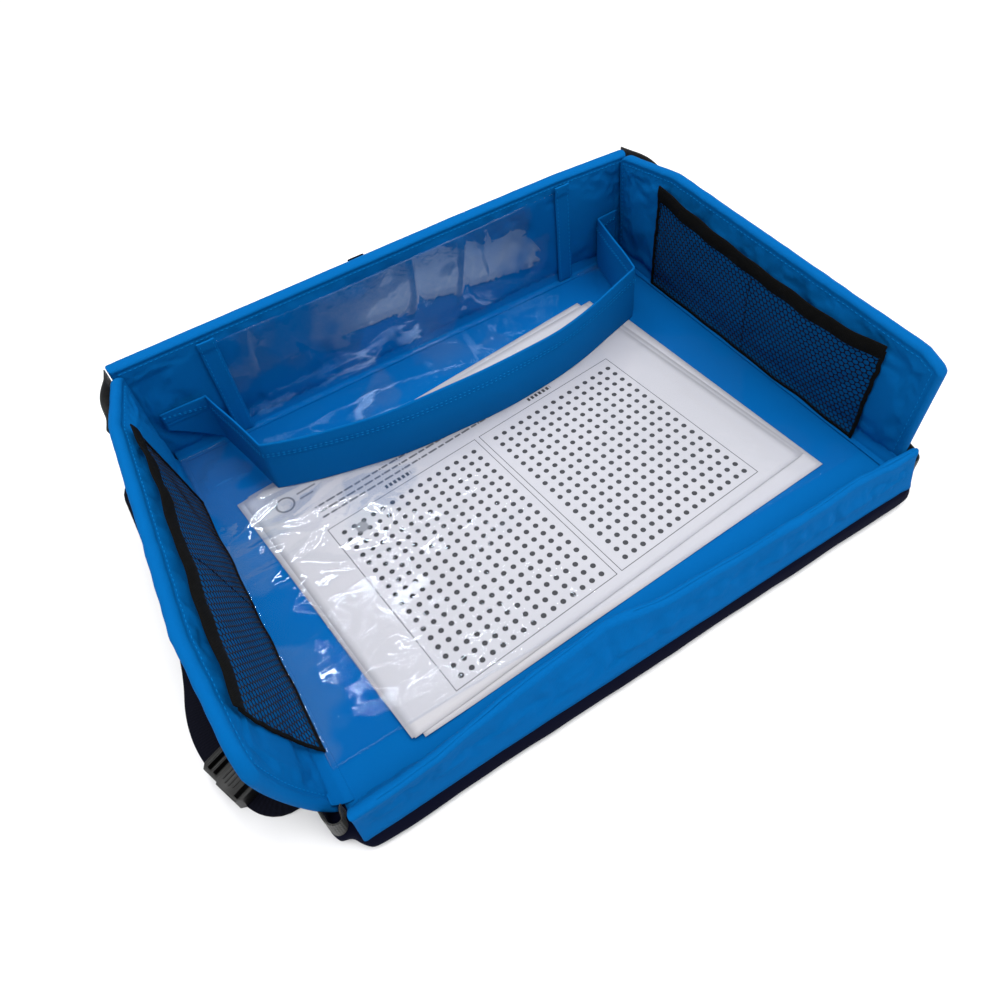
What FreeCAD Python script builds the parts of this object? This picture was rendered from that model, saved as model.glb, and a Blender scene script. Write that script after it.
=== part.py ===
import FreeCAD, Part
import Sketcher
import math
import os

# A soft-sided lap tray for a child's drawing games. A padded base carries three padded walls and a low
# front lip, which all fold down outwards. The row frame has its origin at the centre of the base's
# underside, +X to the right, +Y to the back wall and +Z up. Everything is in millimetres.

doc = FreeCAD.newDocument("LapTray")

# ---------------------------------------------------------------- driving dimensions
SIZES = [
    ("baseWidth", 396, "padded base, left to right"),
    ("baseDepth", 314, "padded base, front to back"),
    ("baseHeight", 15, "padded base, table to floor liner"),
    ("baseCorner", 16, "radius of the base's corners in plan"),
    ("coverSkin", 1, "fabric of the base cover"),
    ("boardThick", 2.5, "stiff board inside the base"),
    ("floorHalf", 190, "half of the floor between the side walls"),
    ("floorFront", -140, "Y where the side walls end, by the lip"),
    ("floorBack", 146, "Y of the back wall's inner face"),
    ("coreInset", 4, "foam stops this far inside a cover's edge, and its stiff sheet twice as far"),
    ("layerGap", 0.25, "clearance between layers that follow a wall's twist"),
    ("seamGap", 0.3, "clearance between bodies at a seam"),
    ("linerSkin", 1.2, "fabric of a liner or backing"),
    ("wallThick", 8, "side wall, liner to backing"),
    ("backThick", 10, "back wall, liner to backing"),
    ("wallHeight", 88, "nominal height of a wall over its fold"),
    ("stiffener", 1.5, "plastic sheet that stiffens a wall"),
    ("lipThick", 6, "front lip, front to back"),
    ("lipHeight", 28, "front lip over its fold"),
    ("lipBack", -143, "Y of the lip's inner face"),
    ("filmThick", 0.4, "clear film"),
    ("filmBottom", 16.5, "Z of the floor film's underside"),
    ("sheetWidth", 297, "game sheet, long side"),
    ("sheetDepth", 210, "game sheet, short side"),
    ("sheetThick", 0.25, "one game sheet"),
    ("pocketFront", -108, "Y of the mesh pockets' front end"),
    ("pocketBack", 97, "Y of the mesh pockets' back end"),
    ("pocketStand", 14, "how far a mesh pocket's mouth stands off its wall"),
    ("pocketTop", 86, "Z where the mesh ends and its elastic begins"),
    ("elasticTop", 100, "Z of the elastic's upper edge"),
    ("meshSkin", 1, "mesh with its edge binding"),
    ("tapeWidth", 12, "binding tape beside the back pocket's film"),
    ("tapeInner", 131, "X of the right tape's inner edge"),
    ("bandTop", 60, "Z of the divider band's upper edge"),
    ("bandSkin", 1.6, "hemmed fabric of the divider band"),
    ("tabSkin", 1.2, "webbing of the corner tabs"),
    ("tabStart", 100, "Y of the back corner tabs' front edge"),
    ("tabLow", 50, "Z of the back corner tabs' lower edge"),
    ("tabFrontTop", 39, "Z of the front corner tabs' upper edge"),
    ("webWidth", 25, "strap webbing"),
    ("webThick", 1.6, "strap webbing"),
    ("webBottom", 0.3, "Z of the webbing that lies on the table"),
    ("buckleAngle", 110, "buckle's pull direction, degrees from +X"),
    ("buckleX", -229, "buckle's middle"),
    ("buckleY", -85, "buckle's middle"),
    ("buckleHalfWidth", 15, "buckle across the strap"),
    ("buckleHigh", 10.3, "Z of the buckle's top"),
]

sheet = doc.addObject("Spreadsheet::Sheet", "Sizes")
for row, (alias, value, note) in enumerate(SIZES, start=1):
    sheet.set(f"A{row}", alias)
    sheet.set(f"B{row}", str(value))
    sheet.setAlias(f"B{row}", alias)
    sheet.set(f"C{row}", note)
doc.recompute()


class Size:
    """A length that knows both its value and the spreadsheet expression that gives it."""

    def __init__(self, value, text):
        self.value = value
        self.text = text

    def __add__(self, other):
        other = sized(other)
        return Size(self.value + other.value, f"({self.text} + {other.text})")

    def __sub__(self, other):
        other = sized(other)
        return Size(self.value - other.value, f"({self.text} - {other.text})")

    def __mul__(self, other):
        other = sized(other)
        return Size(self.value * other.value, f"({self.text} * {other.text})")

    def __truediv__(self, other):
        other = sized(other)
        return Size(self.value / other.value, f"({self.text} / {other.text})")

    def __radd__(self, other):
        return sized(other) + self

    def __rsub__(self, other):
        return sized(other) - self

    def __rmul__(self, other):
        return sized(other) * self

    def __neg__(self):
        return Size(-self.value, f"(0 - {self.text})")


def sized(value):
    return value if isinstance(value, Size) else Size(float(value), f"({float(value)!r})")


def cell(alias):
    return Size(float(sheet.get(alias)), f"Sizes.{alias}")


S = {alias: cell(alias) for alias, _, _ in SIZES}
nodes = {}


# ---------------------------------------------------------------- building blocks
def bind(obj, prop, value):
    obj.setExpression(prop, sized(value).text)


def keep(obj, label):
    obj.Label = label
    nodes[label] = obj
    return obj


def outline(body, plane, offset, corners, name="Outline"):
    """A closed outline of straight edges on one of the body's own planes, every corner bound to the sheet."""
    sketch = body.newObject("Sketcher::SketchObject", name)
    support = next(p for p in body.Origin.OriginFeatures if p.Role == plane)
    sketch.AttachmentSupport = (support, [""])
    sketch.MapMode = "FlatFace"
    bind(sketch, "AttachmentOffset.Base.z", offset)
    corners = [(sized(u), sized(v)) for u, v in corners]
    count = len(corners)
    for i, (u, v) in enumerate(corners):
        u2, v2 = corners[(i + 1) % count]
        start = FreeCAD.Vector(u.value, v.value, 0)
        end = FreeCAD.Vector(u2.value, v2.value, 0)
        sketch.addGeometry(Part.LineSegment(start, end), False)
    for i in range(count):
        sketch.addConstraint(Sketcher.Constraint("Coincident", i, 2, (i + 1) % count, 1))
    for i, (u, v) in enumerate(corners):
        for kind, value in (("DistanceX", u), ("DistanceY", v)):
            index = sketch.addConstraint(Sketcher.Constraint(kind, -1, 1, i, 1, value.value))
            sketch.setExpression(f"Constraints[{index}]", value.text)
    return sketch


def pad(label, plane, offset, length, corners):
    """A straight pad: the outline grows from the offset along the plane's normal."""
    body = doc.addObject("PartDesign::Body", label)
    profile = outline(body, plane, offset, corners)
    feature = body.newObject("PartDesign::Pad", "Pad")
    feature.Profile = profile
    bind(feature, "Length", length)
    return body


def slab(label, low, high, corners):
    """A flat piece seen in plan, from height low to height high."""
    return pad(label, "XY_Plane", low, sized(high) - low, corners)


def block(label, x, y, z):
    """A plain box between pairs of X, Y and Z."""
    box = doc.addObject("Part::Box", label)
    for prop, (low, high) in zip(("Length", "Width", "Height"), (x, y, z)):
        bind(box, prop, sized(high) - low)
    for prop, (low, high) in zip("xyz", (x, y, z)):
        bind(box, f"Placement.Base.{prop}", low)
    return box


def loft(label, sections):
    """A ruled loft through outlines that stand across Y: each section is (y, corners in X and Z)."""
    body = doc.addObject("PartDesign::Body", label)
    made = []
    for i, (y, corners) in enumerate(sections):
        made.append(outline(body, "XZ_Plane", -sized(y), corners, f"Section{i}"))
    feature = body.newObject("PartDesign::AdditiveLoft", "Loft")
    feature.Profile = made[0]
    feature.Sections = made[1:]
    feature.Ruled = True
    return body


def joined(label, pieces):
    fuse = doc.addObject("Part::MultiFuse", label)
    fuse.Shapes = pieces
    return fuse


def cut(label, base, tools):
    tool = tools[0] if len(tools) == 1 else joined(f"{label}_cutters", tools)
    result = doc.addObject("Part::Cut", label)
    result.Base = base
    result.Tool = tool
    return result


def roundedSlab(label, half, front, back, low, high, radius):
    """A flat rectangular piece whose four upright edges are rounded."""
    body = slab(label, low, high, [(-half, front), (half, front), (half, back), (-half, back)])
    doc.recompute()
    upright = []
    for i, edge in enumerate(body.Shape.Edges, start=1):
        ends = [v.Point for v in edge.Vertexes]
        if abs(ends[0].z - ends[1].z) > 0.5 * (sized(high).value - sized(low).value):
            upright.append(f"Edge{i}")
    fillet = body.newObject("PartDesign::Fillet", "Corners")
    fillet.Base = (body.Group[-2], upright)
    bind(fillet, "Radius", radius)
    return body


# ---------------------------------------------------------------- base
halfWidth = S["baseWidth"] / 2
halfDepth = S["baseDepth"] / 2
skin = S["coverSkin"]
top = S["baseHeight"]
foldHeight = top + S["seamGap"]
linerHalf = S["floorHalf"] - 0.2
linerFront = S["lipBack"] + 0.2
linerBack = S["floorBack"] - 0.2


def buildBase():
    outer = roundedSlab("base_cover_outer", halfWidth, -halfDepth, halfDepth, 0, top, S["baseCorner"])
    inside = (halfWidth - skin, skin - halfDepth, halfDepth - skin)
    hollow = roundedSlab("base_cover_hollow", *inside, skin, top - S["linerSkin"], S["baseCorner"] - skin)
    window = block("base_cover_window", (-linerHalf, linerHalf), (linerFront, linerBack), (skin, top + 1))
    keep(cut("base_cover", outer, [hollow, window]), "base_cover")
    boardTop = skin + S["boardThick"]
    for label, inset, low, high in (
        ("base_board", S["coreInset"] * 2, skin, boardTop),
        ("base_padding", S["coreInset"], boardTop, top - S["linerSkin"]),
    ):
        front, back = inset - halfDepth, halfDepth - inset
        radius = S["baseCorner"] - inset / 2
        keep(roundedSlab(label, halfWidth - inset, front, back, low, high, radius), label)
    liner = block(
        "floor_liner", (-linerHalf, linerHalf), (linerFront, linerBack), (top - S["linerSkin"], top)
    )
    keep(liner, "floor_liner")


def buildSheets():
    """Four loose game sheets, fanned a little, under the clear film."""
    fan = [("game_sheet_1", 5, -2, 3.4), ("game_sheet_2", 2.5, 3, 5), ("game_sheet_3", -1.5, 1, 6.2)]
    fan.append(("game_sheet_top", 0, 0, 5.46))
    for layer, (label, dx, dy, turn) in enumerate(fan):
        box = doc.addObject("Part::Box", label)
        bind(box, "Length", S["sheetWidth"])
        bind(box, "Width", S["sheetDepth"])
        bind(box, "Height", S["sheetThick"] - 0.02)
        box.Placement.Rotation = FreeCAD.Rotation(FreeCAD.Vector(0, 0, 1), turn)
        bind(box, "Placement.Base.x", sized(dx - 143.6))
        bind(box, "Placement.Base.y", sized(dy - 128.5))
        bind(box, "Placement.Base.z", top + 0.1 + S["sheetThick"] * layer)
        keep(box, label)


def buildFilm():
    film = block(
        "window_film",
        (2 - linerHalf, linerHalf - 2),
        (S["floorFront"] + 20, S["floorBack"] - 3),
        (S["filmBottom"], S["filmBottom"] + S["filmThick"]),
    )
    keep(film, "window_film")


# ---------------------------------------------------------------- side walls
# Each wall is listed front to back: Y, how far its top leans out at full height, and Z of its top edge.
WALLS = {
    "left": (-1, [(-140, 20, 103), (-60, 25, 103), (100, 13, 103), (145.7, 0, 101)]),
    "right": (1, [(-140, 12, 88), (-125, 9, 96), (-67, 5, 101), (90, 4, 107), (145.7, 0, 100)]),
}


def leanAt(stations, y):
    """Lean of a wall at y, straight between its stations and constant past them."""
    if y >= stations[-1][0]:
        return sized(stations[-1][1])
    for (y0, lean0, _), (y1, lean1, _) in zip(stations, stations[1:]):
        if y0 <= y <= y1:
            return sized(lean0 + (lean1 - lean0) * (y - y0) / (y1 - y0))
    raise ValueError(f"no wall at Y {y}")


def insetStations(stations, margin):
    """The same wall drawn in by a margin at its front, back and top edges."""
    front = stations[0][0] + margin
    back = stations[-1][0] - margin
    tops = [(y, high - margin) for y, _, high in stations[1:-1]]
    inset = [(front, leanAt(stations, front.value), stations[0][2] - margin)]
    inset += [(y, leanAt(stations, y), high) for y, high in tops if front.value + 1 < y < back.value - 1]
    inset.append((back, leanAt(stations, back.value), stations[-1][2] - margin))
    return inset


def wallPoint(side, offset, lean, z):
    """X and Z of a point at that distance outwards from the wall's inner face, on its lean."""
    x = S["floorHalf"] + offset + sized(lean) * (sized(z) - foldHeight) / S["wallHeight"]
    return (x if side > 0 else -x, sized(z))


def wallSection(side, lean, low, high, lowOffsets, highOffsets):
    return [
        wallPoint(side, lowOffsets[0], lean, low),
        wallPoint(side, lowOffsets[1], lean, low),
        wallPoint(side, highOffsets[1], lean, high),
        wallPoint(side, highOffsets[0], lean, high),
    ]


def buildWallLayers(name, side, stations):
    """Liner, padding, stiffening sheet and backing, face to face from the inside out."""
    liner = S["linerSkin"]
    stiffFrom = S["wallThick"] - liner - S["stiffener"]
    inset = S["coreInset"]
    layers = [
        ("liner", sized(0), liner, sized(0)),
        ("padding", liner, stiffFrom - S["layerGap"], inset),
        ("stiffener", stiffFrom, S["wallThick"] - liner, inset * 2),
        ("backing", S["wallThick"] - liner, S["wallThick"], sized(0)),
    ]
    for layer, inner, outer, margin in layers:
        sections = []
        for y, lean, high in insetStations(stations, margin):
            offsets = (inner, outer)
            sections.append((y, wallSection(side, lean, foldHeight + margin, high, offsets, offsets)))
        label = f"{name}_wall_{layer}"
        keep(loft(label, sections), label)


def buildMeshPocket(name, side, stations):
    """A mesh pocket standing off the wall at its mouth, closed at both ends and below, and its elastic."""
    clear = S["seamGap"] * -1
    stand = -S["pocketStand"]
    skinOut = S["meshSkin"]
    low = foldHeight + 2
    inner = [S["pocketFront"].value, S["pocketBack"].value]
    ys = [inner[0]] + [y for y, _, _ in stations if inner[0] < y < inner[1]] + [inner[1]]
    panel = []
    elastic = []
    for y in ys:
        lean = leanAt(stations, y)
        panel.append(
            (y, wallSection(side, lean, low, S["pocketTop"], (clear - skinOut, clear), (stand, stand + skinOut)))
        )
        elastic.append(
            (
                y,
                wallSection(
                    side,
                    lean,
                    S["pocketTop"],
                    S["elasticTop"],
                    (stand - 0.4, stand + skinOut),
                    (stand + 1.6, stand + 3),
                ),
            )
        )
    pieces = [loft(f"{name}_mesh_panel", panel)]
    for end, y in (("front", inner[0]), ("back", inner[1] - skinOut.value)):
        sections = []
        for station in (y, y + skinOut.value):
            corners = wallSection(
                side, leanAt(stations, station), low, S["pocketTop"], (clear - skinOut, clear), (stand, clear)
            )
            sections.append((station, corners))
        pieces.append(loft(f"{name}_mesh_{end}", sections))
    label = f"{name}_mesh_pocket"
    keep(joined(label, pieces), label)
    band = [loft(f"{name}_elastic_band", elastic)]
    for end, y in (("front", inner[0]), ("back", inner[1] - skinOut.value)):
        sections = []
        for station in (y, y + skinOut.value):
            corners = wallSection(
                side,
                leanAt(stations, station),
                S["pocketTop"],
                S["elasticTop"],
                (stand - 0.4, clear),
                (stand + 1.6, clear),
            )
            sections.append((station, corners))
        band.append(loft(f"{name}_elastic_{end}", sections))
    label = f"{name}_mesh_elastic"
    keep(joined(label, band), label)


def buildTabs(name, side, stations):
    """A wide tab over the back corner and a short one that turns round the front corner behind the lip."""
    outside = S["wallThick"] + S["layerGap"]
    offsets = (outside, outside + S["tabSkin"])
    sections = []
    for y in (S["tabStart"].value, stations[-1][0], S["baseDepth"].value / 2 - 1):
        lean = leanAt(stations, y)
        sections.append((y, wallSection(side, lean, S["tabLow"], 100, offsets, offsets)))
    label = f"{name}_back_tab"
    keep(loft(label, sections), label)

    # Front tab in plan, from the wall's outer face round its end to just inside the lip.
    tab = S["tabSkin"]
    edge = S["floorHalf"] + S["wallThick"] + 7
    bulge = S["lipBack"] - 5
    route = [
        (edge, S["floorFront"] + 26),
        (edge + tab, S["floorFront"] + 26),
        (edge + tab, bulge + 1),
        (edge - 3, bulge - tab),
        (edge - 11.5, bulge - tab),
        (S["floorHalf"] + 0.8, S["lipBack"] + 0.4),
        (S["floorHalf"] - 12, S["lipBack"] + 0.4),
        (S["floorHalf"] - 12, S["lipBack"] + 0.4 + tab),
        (S["floorHalf"] + 1.4, S["lipBack"] + 0.4 + tab),
        (edge - 10.8, bulge),
        (edge - 3.5, bulge),
        (edge, bulge + 1.5),
    ]
    if side < 0:
        route = [(-x, y) for x, y in route]
    label = f"{name}_front_tab"
    keep(slab(label, foldHeight + 1.5, S["tabFrontTop"], route), label)


# ---------------------------------------------------------------- back wall
def buildBackWall():
    half = halfWidth - S["seamGap"]
    inner = S["floorBack"]
    liner = S["linerSkin"]
    stiffFrom = S["backThick"] - liner - S["stiffener"]
    high = foldHeight + S["wallHeight"] - 0.3
    inset = S["coreInset"]
    layers = [
        ("liner", sized(0), liner, sized(0)),
        ("padding", liner, stiffFrom - S["layerGap"], inset),
        ("stiffener", stiffFrom, S["backThick"] - liner, inset * 2),
        ("backing", S["backThick"] - liner, S["backThick"], sized(0)),
    ]
    for layer, near, far, margin in layers:
        low, wide, tall = foldHeight + margin, half - margin, high - margin
        side = [(-wide, low), (wide, low), (wide, tall - 4), (wide - 60, tall - 1), (wide - 150, tall), (-wide, tall)]
        label = f"back_wall_{layer}"
        keep(pad(label, "XZ_Plane", -(inner + far), far - near, side), label)

    filmTop = S["elasticTop"] - 6
    low = S["filmBottom"] + S["filmThick"] + 0.6
    tapeOuter = S["tapeInner"] + S["tapeWidth"]
    tapeFace = inner - 1.5
    for name, x in (("left", (-tapeOuter, -S["tapeInner"])), ("right", (S["tapeInner"], tapeOuter))):
        label = f"back_pocket_tape_{name}"
        keep(block(label, x, (tapeFace, inner - 0.1), (low, filmTop + 3)), label)
    clear = S["tapeInner"] + 2
    filmFace = tapeFace - 0.1 - S["filmThick"]
    film = block("back_pocket_film", (-clear, clear), (filmFace, tapeFace - 0.1), (low, filmTop))
    keep(film, "back_pocket_film")
    loop = block("back_wall_loop", (-28, -16), (inner + S["backThick"] + 0.1, halfDepth + 2), (high - 26, high + 1))
    keep(loop, "back_wall_loop")


def buildDividerBand():
    """A hat-shaped fabric band in plan: a brim at each back corner, two gussets and a bowed front."""
    front = S["floorBack"] - 96
    brim = S["floorBack"] - 2.4
    line = [(-184, brim), (-151, brim - 1.5), (-138, front + 30), (-92, front + 12), (-40, front + 2)]
    line += [(30, front), (90, front + 7), (150, front + 26), (167, brim - 1.5), (186, brim)]
    thick = S["bandSkin"]
    back = [(sized(x), sized(y)) for x, y in line]
    inner = []
    for i, (x, y) in enumerate(back):
        before = line[max(i - 1, 0)]
        after = line[min(i + 1, len(line) - 1)]
        dx = sized(after[0]).value - sized(before[0]).value
        dy = sized(after[1]).value - sized(before[1]).value
        run = math.hypot(dx, dy)
        inner.append((x - thick * (-dy / run), y - thick * (dx / run)))
    low = S["filmBottom"] + S["filmThick"] + 0.3
    body = slab("divider_band", low, S["bandTop"], back + inner[::-1])
    keep(body, "divider_band")


# ---------------------------------------------------------------- front lip
def buildLip():
    half = S["floorHalf"] - 0.5
    inner = S["lipBack"]
    outer = inner - S["lipThick"]
    skinIn = S["linerSkin"]
    high = foldHeight + S["lipHeight"]
    inside = ((-half + 1, half - 1), (outer + skinIn, inner - skinIn))
    keep(block("lip_padding", *inside, (foldHeight, high - 2)), "lip_padding")
    sleeve = block("lip_cover_outer", (-half, half), (outer, inner), (foldHeight, high))
    hollow = block("lip_cover_hollow", *inside, (foldHeight - 1, high - 2))
    keep(cut("lip_cover", sleeve, [hollow]), "lip_cover")


# ---------------------------------------------------------------- strap and buckle
def buckleFrame(obj):
    """Turns a piece made along +X to the buckle's pull direction, at the buckle's middle."""
    turn = FreeCAD.Rotation(FreeCAD.Vector(0, 0, 1), S["buckleAngle"].value)
    bind(obj, "Placement.Base.x", S["buckleX"])
    bind(obj, "Placement.Base.y", S["buckleY"])
    obj.Placement.Rotation = turn
    return obj


def along(s, t):
    """Plan point at distance s along the buckle's pull and t to its left."""
    a = math.radians(S["buckleAngle"].value)
    return (S["buckleX"].value + s * math.cos(a) - t * math.sin(a),
            S["buckleY"].value + s * math.sin(a) + t * math.cos(a))


def buildBuckle():
    half = S["buckleHalfWidth"]
    web = S["webWidth"] / 2
    high = S["buckleHigh"]
    ends = [(-16, 3 - half), (-13.5, -half), (2, -half), (3, 1.5 - half)]
    ends += [(3, half - 1.5), (2, half), (-13.5, half), (-16, half - 3)]
    shell = slab("buckle_socket_shell", S["webBottom"], high, ends)
    cavity = block("buckle_socket_cavity", (-8.5, 4), (2 - half, half - 2), (2, high - 1.6))
    windows = block("buckle_socket_windows", (-6.5, -0.5), (-half - 1, half + 1), (2, high - 1.6))
    slot = block("buckle_socket_slot", (-13.6, -10.6), (-web - 0.6, web + 0.6), (0, high + 1))
    keep(buckleFrame(cut("buckle_socket", shell, [cavity, windows, slot])), "buckle_socket")

    channelTop = S["webBottom"] + S["webThick"] + 0.4
    ends = [(3.4, 1 - half), (14.5, 1.2 - half), (17, 4 - half), (17, half - 4), (14.5, half - 1.2), (3.4, half - 1)]
    body = slab("buckle_plug_body", S["webBottom"], high - 0.6, ends)
    channel = block("buckle_plug_channel", (3, 18), (-web - 0.3, web + 0.3), (0, channelTop))
    ladder = [
        block(f"buckle_plug_ladder_{n}", (x, x + 2.6), (1 - web, web - 1), (channelTop - 1, high + 1))
        for n, x in enumerate((6.2, 11))
    ]
    rear = cut("buckle_plug_rear", body, [channel] + ladder)
    tongue = block("buckle_plug_tongue", (-7, 4.5), (-3, 3), (3.2, 7.4))
    keep(buckleFrame(joined("buckle_plug", [rear, tongue])), "buckle_plug")

    arms = []
    for n, sign in enumerate((-1, 1)):
        route = [(3.3, 6.5), (3.3, 9.6), (-1.2, 11.4), (-1.8, 14.2), (-3.4, 14.4), (-7.2, 11.2), (-7.2, 8), (-3.4, 8.6)]
        arms.append(slab(f"buckle_latch_arm_{n}", 3.2, 7.4, [(s, sign * t) for s, t in route]))
    keep(buckleFrame(joined("buckle_latch_arms", arms)), "buckle_latch_arms")


def buildStraps():
    low = S["webBottom"]
    side = halfWidth + 0.2
    web = S["webWidth"] / 2
    # Short strap, sewn to the base's side by the front corner and looped round the socket's bar.
    outerFront = along(-16.4, web.value)
    innerFront = along(-16.4, -web.value)
    short = [(-side, -124), (-219, -126), outerFront, innerFront, (-side, -98)]
    keep(slab("strap_short", low, low + S["webThick"], short), "strap_short")
    patch = block("strap_anchor_left", (-side - 1.2, -side), (-124, -98), (low + S["webThick"] + 0.1, 13))
    keep(patch, "strap_anchor_left")
    patch = block("strap_anchor_right", (side, side + 1.2), (-124, -98), (low + S["webThick"] + 0.1, 13))
    keep(patch, "strap_anchor_right")

    # Long strap: out of the plug, back along the left side, behind the back wall and forward to the right
    # anchor. Its line is the middle of the webbing, and it is mitred where it folds at the two back corners.
    line = [along(6, 0), along(33, 0), (-224, 0), (-220, 110), (-221, 184), (224, 186), (222, 60)]
    line += [(223, -60), (215.5, -111), (side.value, -111)]
    width = web.value
    edges = {1: [], -1: []}
    for i, (x, y) in enumerate(line):
        before = line[max(i - 1, 0)]
        after = line[min(i + 1, len(line) - 1)]
        into = unit(x - before[0], y - before[1]) if i else None
        out = unit(after[0] - x, after[1] - y) if i < len(line) - 1 else into
        into = into or out
        nx, ny = -(into[1] + out[1]), into[0] + out[0]
        scale = 2 / (nx * nx + ny * ny)
        for sign in edges:
            edges[sign].append((x + sign * width * nx * scale, y + sign * width * ny * scale))
    keep(slab("waist_strap", low, low + S["webThick"], edges[1] + edges[-1][::-1]), "waist_strap")
    length = sum(math.dist(a, b) for a, b in zip(line, line[1:]))
    print(f"waist strap centreline {length:.0f} mm")


def unit(dx, dy):
    run = math.hypot(dx, dy)
    return (dx / run, dy / run)


# ---------------------------------------------------------------- build, check and write
buildBase()
buildSheets()
buildFilm()
for wallName, (wallSide, wallStations) in WALLS.items():
    buildWallLayers(wallName, wallSide, wallStations)
    buildMeshPocket(wallName, wallSide, wallStations)
    buildTabs(wallName, wallSide, wallStations)
buildBackWall()
buildDividerBand()
buildLip()
buildBuckle()
buildStraps()
doc.recompute()

faults = [f"{o.Label}: {o.State}" for o in doc.Objects if {"Invalid", "Error"} & set(o.State)]
for label, obj in nodes.items():
    shape = obj.Shape
    if shape.isNull() or not shape.isValid() or not shape.Solids:
        faults.append(f"{label}: shape is null, invalid or has no solid")
if faults:
    raise RuntimeError("; ".join(faults))

os.makedirs("parts", exist_ok=True)
for label, obj in nodes.items():
    obj.Shape.exportStep(f"parts/{label}.step")
print(f"{len(nodes)} nodes written")
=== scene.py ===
import bpy
import bmesh
import math
from mathutils import Matrix, Vector, noise


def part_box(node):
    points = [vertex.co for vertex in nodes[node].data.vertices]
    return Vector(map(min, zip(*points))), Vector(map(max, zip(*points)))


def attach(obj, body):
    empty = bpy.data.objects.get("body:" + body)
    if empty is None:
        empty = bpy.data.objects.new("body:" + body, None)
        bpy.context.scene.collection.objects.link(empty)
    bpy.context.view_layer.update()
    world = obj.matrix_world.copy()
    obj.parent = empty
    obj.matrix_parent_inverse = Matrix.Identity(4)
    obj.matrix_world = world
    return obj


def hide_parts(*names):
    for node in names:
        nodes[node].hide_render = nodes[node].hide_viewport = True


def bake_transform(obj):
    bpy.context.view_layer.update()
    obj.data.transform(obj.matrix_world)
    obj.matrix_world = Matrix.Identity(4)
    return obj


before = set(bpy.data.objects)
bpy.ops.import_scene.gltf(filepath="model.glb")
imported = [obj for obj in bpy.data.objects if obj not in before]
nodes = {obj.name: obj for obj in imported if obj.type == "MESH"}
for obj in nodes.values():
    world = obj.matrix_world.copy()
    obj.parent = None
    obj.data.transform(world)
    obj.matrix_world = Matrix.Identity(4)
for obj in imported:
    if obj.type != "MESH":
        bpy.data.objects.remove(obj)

scene = bpy.context.scene
scene.view_settings.view_transform = "Standard"
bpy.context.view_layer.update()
print("frame loaded:", len(nodes), "nodes")


# the camera, the lamps and the light all round
camera = {
    "place": (-0.16235, -0.32078, 0.42942),
    "right": (0.848434, -0.520415, -0.096585),
    "up": (0.460339, 0.635439, 0.619923),
    "lens": 29.955,
    "sensor": 36,
    "nearest": 0.02,
}
lamps = [  # name, place, aim, width, depth and power
    ("key", (0.10, -0.75, 1.75), (0, 0, 0.03), 1.5, 1.2, 8.5),
    ("fill", (1.35, -0.25, 1.25), (0, 0, 0.03), 1.1, 0.9, 6),
    ("side", (-1.35, 0.2, 1.2), (0, 0, 0.03), 1.0, 0.9, 9),
    ("front", (0.95, -0.95, 0.75), (-0.18, -0.08, 0.05), 0.8, 0.7, 4),
    ("tubeBack", (0.055, 0.756, 1.0), (-0.10, 0.0, 0.02), 0.45, 0.018, 1.4),
    ("tubeMiddle", (-0.03, 0.596, 1.0), (-0.12, -0.05, 0.02), 0.25, 0.018, 0.8),
    ("tubeFront", (0.045, 0.449, 1.0), (-0.10, -0.09, 0.02), 0.45, 0.018, 1.4),
    ("window", (0.58, 1.20, 1.0), (0.05, 0.1, 0.05), 0.06, 0.06, 0.5),
]
daylight = {"from": (0.10, -0.24, 1.0), "strength": 2.3, "spread": 60}
allRound = {"colour": (0.93, 0.96, 1.0, 1), "strength": 0.28}


def makeCamera():
    data = bpy.data.cameras.new("camera")
    data.lens = camera["lens"]
    data.sensor_width = camera["sensor"]
    cam = bpy.data.objects.new("camera", data)
    scene.collection.objects.link(cam)
    right, up = Vector(camera["right"]), Vector(camera["up"])
    turn = Matrix((right, up, right.cross(up))).transposed().to_4x4()
    cam.matrix_world = Matrix.Translation(camera["place"]) @ turn
    data.clip_start = camera["nearest"]
    scene.camera = cam


def makeLights():
    for name, place, aim, width, depth, power in lamps:
        data = bpy.data.lights.new(name, "AREA")
        data.shape = "RECTANGLE"
        data.size, data.size_y, data.energy = width, depth, power
        lamp = bpy.data.objects.new(name, data)
        lamp.location = place
        lamp.rotation_euler = (Vector(aim) - Vector(place)).to_track_quat("-Z", "Y").to_euler()
        scene.collection.objects.link(lamp)
    data = bpy.data.lights.new("daylight", "SUN")
    data.energy, data.angle = daylight["strength"], math.radians(daylight["spread"])
    lamp = bpy.data.objects.new("daylight", data)
    lamp.rotation_euler = Vector(daylight["from"]).to_track_quat("Z", "Y").to_euler()
    scene.collection.objects.link(lamp)
    world = bpy.data.worlds.new("studio")
    world.use_nodes = True
    light = world.node_tree.nodes["Background"]
    light.inputs["Color"].default_value = allRound["colour"]
    light.inputs["Strength"].default_value = allRound["strength"]
    scene.world = world


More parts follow.
